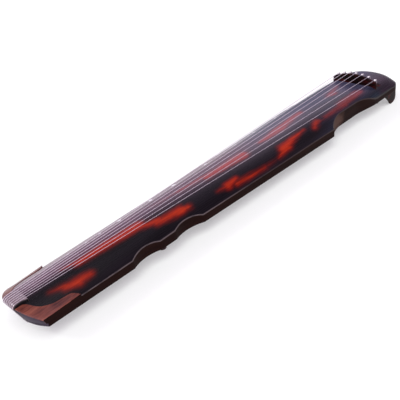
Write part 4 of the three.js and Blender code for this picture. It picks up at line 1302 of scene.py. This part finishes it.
# Goose feet, turned, with a collar, a neck for the strings and a rounded toe
foot = {
    "x": along(0.291), "side": 33, "neck": 7.2, "flare": 9.2, "rest": 7.8, "toe": 1.4, "collar": 10.5,
    "tenon": 7, "tenonTop": 7.8, "sides": 48, "toeTop": 3.6, "neckLow": 5.4, "neckDrop": 4.4,
    "collarDrop": 2.9, "collarSide": (1.7, 0.4), "centre": 0.2,
}


def makeFoot(name, side):
    low, top = -body["stand"], -body["fit"] / 3
    rest, flare, neck, collar, tenon = (foot[key] for key in ("rest", "flare", "neck", "collar", "tenon"))
    toe, toeTop, tenonTop, centre = low + foot["toe"], low + foot["toeTop"], foot["tenonTop"], foot["centre"]
    under, (sideLow, ease) = top - foot["collarDrop"], foot["collarSide"]
    neckLow, neckTop = (neck, low + foot["neckLow"]), (neck, top - foot["neckDrop"])
    profile = [(centre, low), (rest, low), *bezier([(rest, low), (flare, low), (flare, toe)], 5)]
    profile += bezier([(flare, toe), (flare, toeTop), (neck, toeTop), neckLow], 7)
    profile += bezier([neckTop, (neck, under), (collar, under), (collar, top - sideLow)], 7)
    profile += [(collar, top - ease), (collar - ease, top), (tenon, top), (tenon, tenonTop)]
    profile.append((centre, tenonTop))
    points, faces = lofted(turnedRings(profile, foot["x"], side * foot["side"], foot["sides"]))
    addPiece(f"{name}_goose_foot", points, faces, "pegwood", "blackwood", [f"goose_foot_{name}"], smooth=45)


for sideName, sideSign in bothSides:
    makeFoot(sideName, sideSign)
print("guards and feet made")


# Tuning pegs: eight shallow flutes, a waist and a bore for the cord
peg = {
    "length": 29, "head": 6, "headDepth": 3, "neck": 4, "waist": 5.4, "end": 6.15, "endLength": 4, "tip": 4,
    "tipDepth": 2.56, "bore": 2.1, "boreDepth": 14, "edge": 0.3,
    "fluteDepth": 0.045, "fluteCount": 8, "sides": 64, "waistLow": 11, "waistTop": 6, "neckLow": (4.2, 3.2),
    "headLow": (0.5, 0.9), "fluteEnds": (1, 4.5), "centre": 0.1,
}


def makePeg(index):
    top = pool["roof"] - body["fit"]
    low = top - peg["length"]
    neckTop = top - peg["headDepth"]
    tip, end, waist, neck, head, bore = (peg[key] for key in ("tip", "end", "waist", "neck", "head", "bore"))
    endTop, edge, boreLow = low + peg["endLength"], peg["edge"], top - peg["boreDepth"]
    waistLow, waistTop = (waist, low + peg["waistLow"]), (waist, neckTop - peg["waistTop"])
    neckLow, neckHigh = (neckTop - drop for drop in peg["neckLow"])
    headLow, headSide = (neckTop + rise for rise in peg["headLow"])
    profile = [(peg["centre"], low), (tip, low)]
    profile += bezier([(tip, low), (end, low), (end, low + peg["tipDepth"])], 5)
    profile += [(end, endTop), *bezier([(end, endTop), waistLow, waistTop], 6)]
    profile += bezier([waistTop, (waist, neckLow), (neck, neckHigh)], 5)
    profile += [(neck, neckTop), (head - edge, headLow), (head, headSide), (head, top - edge)]
    profile += [(head - edge, top), (bore + edge, top), (bore, top - edge), (bore, boreLow)]
    profile.append((peg["centre"], boreLow))

    def fluted(turn, height):
        inside = low + peg["fluteEnds"][0] < height < neckTop - peg["fluteEnds"][1]
        return 1 - peg["fluteDepth"] * (1 - abs(math.cos(peg["fluteCount"] / 2 * turn))) if inside else 1

    points, faces = lofted(turnedRings(profile, eyeX, bridgeSide(index), peg["sides"], fluted))
    number = index + 1
    nodes, rider = [f"tuning_peg_{number}"], f"peg_{number}"
    addPiece(f"fluted_peg_{number}", points, faces, "pegwood", "blackwood", nodes, rider, 45)


for pegIndex in range(7):
    makePeg(pegIndex)
print("pegs made")


# Strings: one line each, from the knot over the bridge and both gums to the coils round a foot
knot = {
    "reach": 11.6, "sink": 0.6, "tube": 1.05, "spread": 1.25, "long": 1.12, "wide": 0.72, "deep": 0.85,
    "steps": 90, "sides": 10, "loop": 0.9, "wind": 2,
}


def beside(path, distance):
    moved = []
    for index, point in enumerate(path):
        ahead = heading(path, index)
        moved.append((point[0] + ahead.y * distance, point[1] - ahead.x * distance))
    return moved


def coilTop(index):
    first = 0 if index < strings["farCount"] else strings["farCount"]
    height = -strings["windingTop"]
    for above in range(first, index):
        diameter = strings["diameters"][above]
        height -= diameter + strings["loops"][above] * (diameter + strings["turnGap"]) + strings["stackGap"]
    return height - strings["diameters"][index] / 2


def coilRoute(index, start):
    side = 1 if index < strings["farCount"] else -1
    diameter = strings["diameters"][index]
    radius = foot["neck"] + body["fit"] + diameter / 2
    startX, startY = start[0] - foot["x"], side * start[1] - foot["side"]
    meet = math.atan2(startY, startX) + math.acos(radius / math.hypot(startX, startY))
    pitch = diameter + strings["turnGap"]
    route = []
    for step in range(strings["loops"][index] * strings["turnSteps"] + 1):
        share = step / strings["turnSteps"]
        turn = meet + share * 2 * math.pi
        across = side * (foot["side"] + radius * math.sin(turn))
        route.append((foot["x"] + radius * math.cos(turn), across, coilTop(index) - pitch * share))
    return route


def stringRoute(index):
    off = strings["diameters"][index] / 2 + body["fit"]
    y = bridgeSide(index)
    crest = crestAt(y) + off
    tailY = strings["tailCentre"] + (3 - index) * strings["tailSpacing"]
    ease = (gum["lowerBack"] - gum["lowerEase"], -gum["lowerDrop"])
    down = beside([(body["tailReach"], gum["crest"]), *gumNose(), *lowerNose(), ease], off)
    high = Vector((bridgeX + bridge["edge"], y, crest))
    low = Vector((down[0][0], tailY, down[0][1]))
    route = [(bridgeX + knot["reach"], y, crest - knot["sink"]), (bridgeX + bridge["topThick"], y, crest)]
    topSteps, underSteps = strings["topSteps"], strings["underSteps"]
    route += [tuple(high.lerp(low, step / topSteps)) for step in range(topSteps)]
    route += [(x, tailY, z) for x, z in down]
    start = route[-1]
    coil = coilRoute(index, start)
    route += [tuple(Vector(start).lerp(Vector(coil[0]), step / underSteps)) for step in range(1, underSteps)]
    return route + coil


def knotMesh(centre):
    # a trefoil: one closed tube wound three times over and under itself
    route = []
    for turn in ringAngles(knot["steps"]):
        route.append((
            centre[0] + knot["spread"] * knot["long"] * (math.cos(turn) - knot["loop"] * math.cos(2 * turn)),
            centre[1] + knot["spread"] * knot["wide"] * (math.sin(turn) + knot["wind"] * math.sin(2 * turn)),
            centre[2] - knot["spread"] * knot["deep"] * math.sin(3 * turn),
        ))
    rings = tubeRings([route[-1], *route, route[0]], knot["tube"], knot["sides"])[1:-1]
    points, faces = lofted(rings, capped=False)
    count = knot["sides"]
    last = len(points) - count
    faces += [[last + step, last + (step + 1) % count, (step + 1) % count, step] for step in range(count)]
    return points, faces


def makeString(index):
    route = stringRoute(index)
    line = lofted(tubeRings(route, strings["diameters"][index] / 2, strings["sides"]))
    number = index + 1
    piece = addPiece(f"silk_string_{number}", *line, "string", "string_silk", [f"string_{number}"], smooth=60)
    bead = addPiece(f"silk_knot_{number}", *knotMesh(route[0]), "knot", "cord_silk", [], smooth=80)
    bead.parent = piece


# Cords: three strands twisted together, from the knot down through the eye into the peg
cord = {
    "radius": 1.5, "strand": 0.74, "lay": 9, "inPeg": 11, "step": 0.8, "sides": 8,
    "start": 1.6, "levelShare": 0.7, "levelDrop": 0.3, "turnDrop": 0.5, "turnShare": 0.45,
}


def cordRoute(index):
    y = bridgeSide(index)
    high = crestAt(y) + strings["diameters"][index] / 2 + body["fit"] - knot["sink"]
    startX = bridgeX + knot["reach"] + cord["start"]
    boardTop = topAt(eyeX, y) + eyes["thick"]
    levelEnd = (startX + (eyeX - startX) * cord["levelShare"], y, high - cord["levelDrop"])
    turnEnd = (eyeX, y, high - (high - boardTop) * cord["turnShare"])
    corners = [(startX, y, high), levelEnd]
    corners += bezier([levelEnd, (eyeX, y, high - cord["turnDrop"]), turnEnd], 6)
    corners += [(eyeX, y, boardTop), (eyeX, y, pool["roof"] - cord["inPeg"])]
    fine = []
    for start, end in zip(corners, corners[1:]):
        count = max(int((Vector(end) - Vector(start)).length / cord["step"]), 1)
        fine += [tuple(Vector(start).lerp(Vector(end), step / count)) for step in range(count)]
    return fine + [corners[-1]]


def makeCord(index):
    route = cordRoute(index)
    rings = tubeRings(route, cord["radius"] - cord["strand"], 3)
    length = [0]
    for start, end in zip(route, route[1:]):
        length.append(length[-1] + (Vector(end) - Vector(start)).length)
    meshes = []
    for strand in range(3):
        line = []
        for step, point in enumerate(route):
            turn = 2 * math.pi * (length[step] / cord["lay"] + strand / 3)
            aside = Vector(rings[step][0]) - Vector(point)
            line.append(tuple(Vector(point) + Matrix.Rotation(turn, 3, heading(route, step)) @ aside))
        meshes.append(lofted(tubeRings(line, cord["strand"], cord["sides"])))
    points, faces = joinedMeshes(*meshes)
    nodes = [f"peg_cord_{index + 1}"]
    addPiece(f"twisted_cord_{index + 1}", points, faces, "cord", "cord_silk", nodes, smooth=60)


for stringIndex in range(7):
    makeString(stringIndex)
    makeCord(stringIndex)
print("strings, knots and cords made")


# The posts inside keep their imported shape
for node in ("sky_post", "earth_post"):
    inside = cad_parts[node]
    inside.data.materials.clear()
    inside.data.materials.append(finishes["softwood"])


# Floor, sky and lamps: the sky is brightest half way up and dark overhead, and the arch mirrors it
studio = {
    "floor": (0.60, 0.64, 0.59), "floorGlow": 0.36, "floorHalf": 6000, "floorDrop": 0.05, "strength": 1.0,
    "sky": [
        (0.0, (0.52, 0.50, 0.56)), (0.2, (0.66, 0.60, 0.70)), (0.42, (1.15, 0.95, 1.22)),
        (0.58, (1.35, 1.08, 1.42)), (0.72, (0.78, 0.63, 0.85)), (0.80, (0.20, 0.17, 0.23)),
        (0.88, (0.05, 0.05, 0.06)), (1.0, (0.045, 0.045, 0.055)),
    ],
    "lamps": [  # name, azimuth, elevation, strength, spread
        ("lamp_key", -128, 68, 1.8, 50),
        ("lamp_back", 128, 34, 0.6, 12),
    ],
}


def makeFloor():
    half, level = studio["floorHalf"], -body["stand"] - studio["floorDrop"]
    points = [(-half, -half, level), (half, -half, level), (half, half, level), (-half, half, level)]
    floor = newObject("floor", points, [[0, 1, 2, 3]], False)
    paint = Finish("floor_paint", Roughness=0.9, Emission_Strength=studio["floorGlow"])
    paint.surface.inputs["Base Color"].default_value = (*studio["floor"], 1)
    paint.surface.inputs["Emission Color"].default_value = (1, 1, 1, 1)
    floor.data.materials.append(paint.material)


def makeSky():
    world = bpy.data.worlds.new("studio_sky")
    world.use_nodes = True
    bpy.context.scene.world = world
    tree = world.node_tree
    coordinate = tree.nodes.new("ShaderNodeTexCoord")
    split = tree.nodes.new("ShaderNodeSeparateXYZ")
    ramp = tree.nodes.new("ShaderNodeValToRGB")
    setStops(ramp.color_ramp, studio["sky"])
    tree.links.new(coordinate.outputs["Generated"], split.inputs[0])
    tree.links.new(split.outputs[2], ramp.inputs[0])
    background = next(node for node in tree.nodes if node.type == "BACKGROUND")
    background.inputs["Strength"].default_value = studio["strength"]
    tree.links.new(ramp.outputs[0], background.inputs["Color"])


def makeLamps():
    for name, azimuth, elevation, strength, spread in studio["lamps"]:
        lamp = bpy.data.objects.new(name, bpy.data.lights.new(name, "SUN"))
        lamp.data.energy = strength
        lamp.data.angle = math.radians(spread)
        lamp.rotation_euler = (math.radians(90 - elevation), 0, math.radians(azimuth + 90))
        bpy.context.scene.collection.objects.link(lamp)


makeFloor()
makeSky()
makeLamps()
print("floor, sky and lamps made")
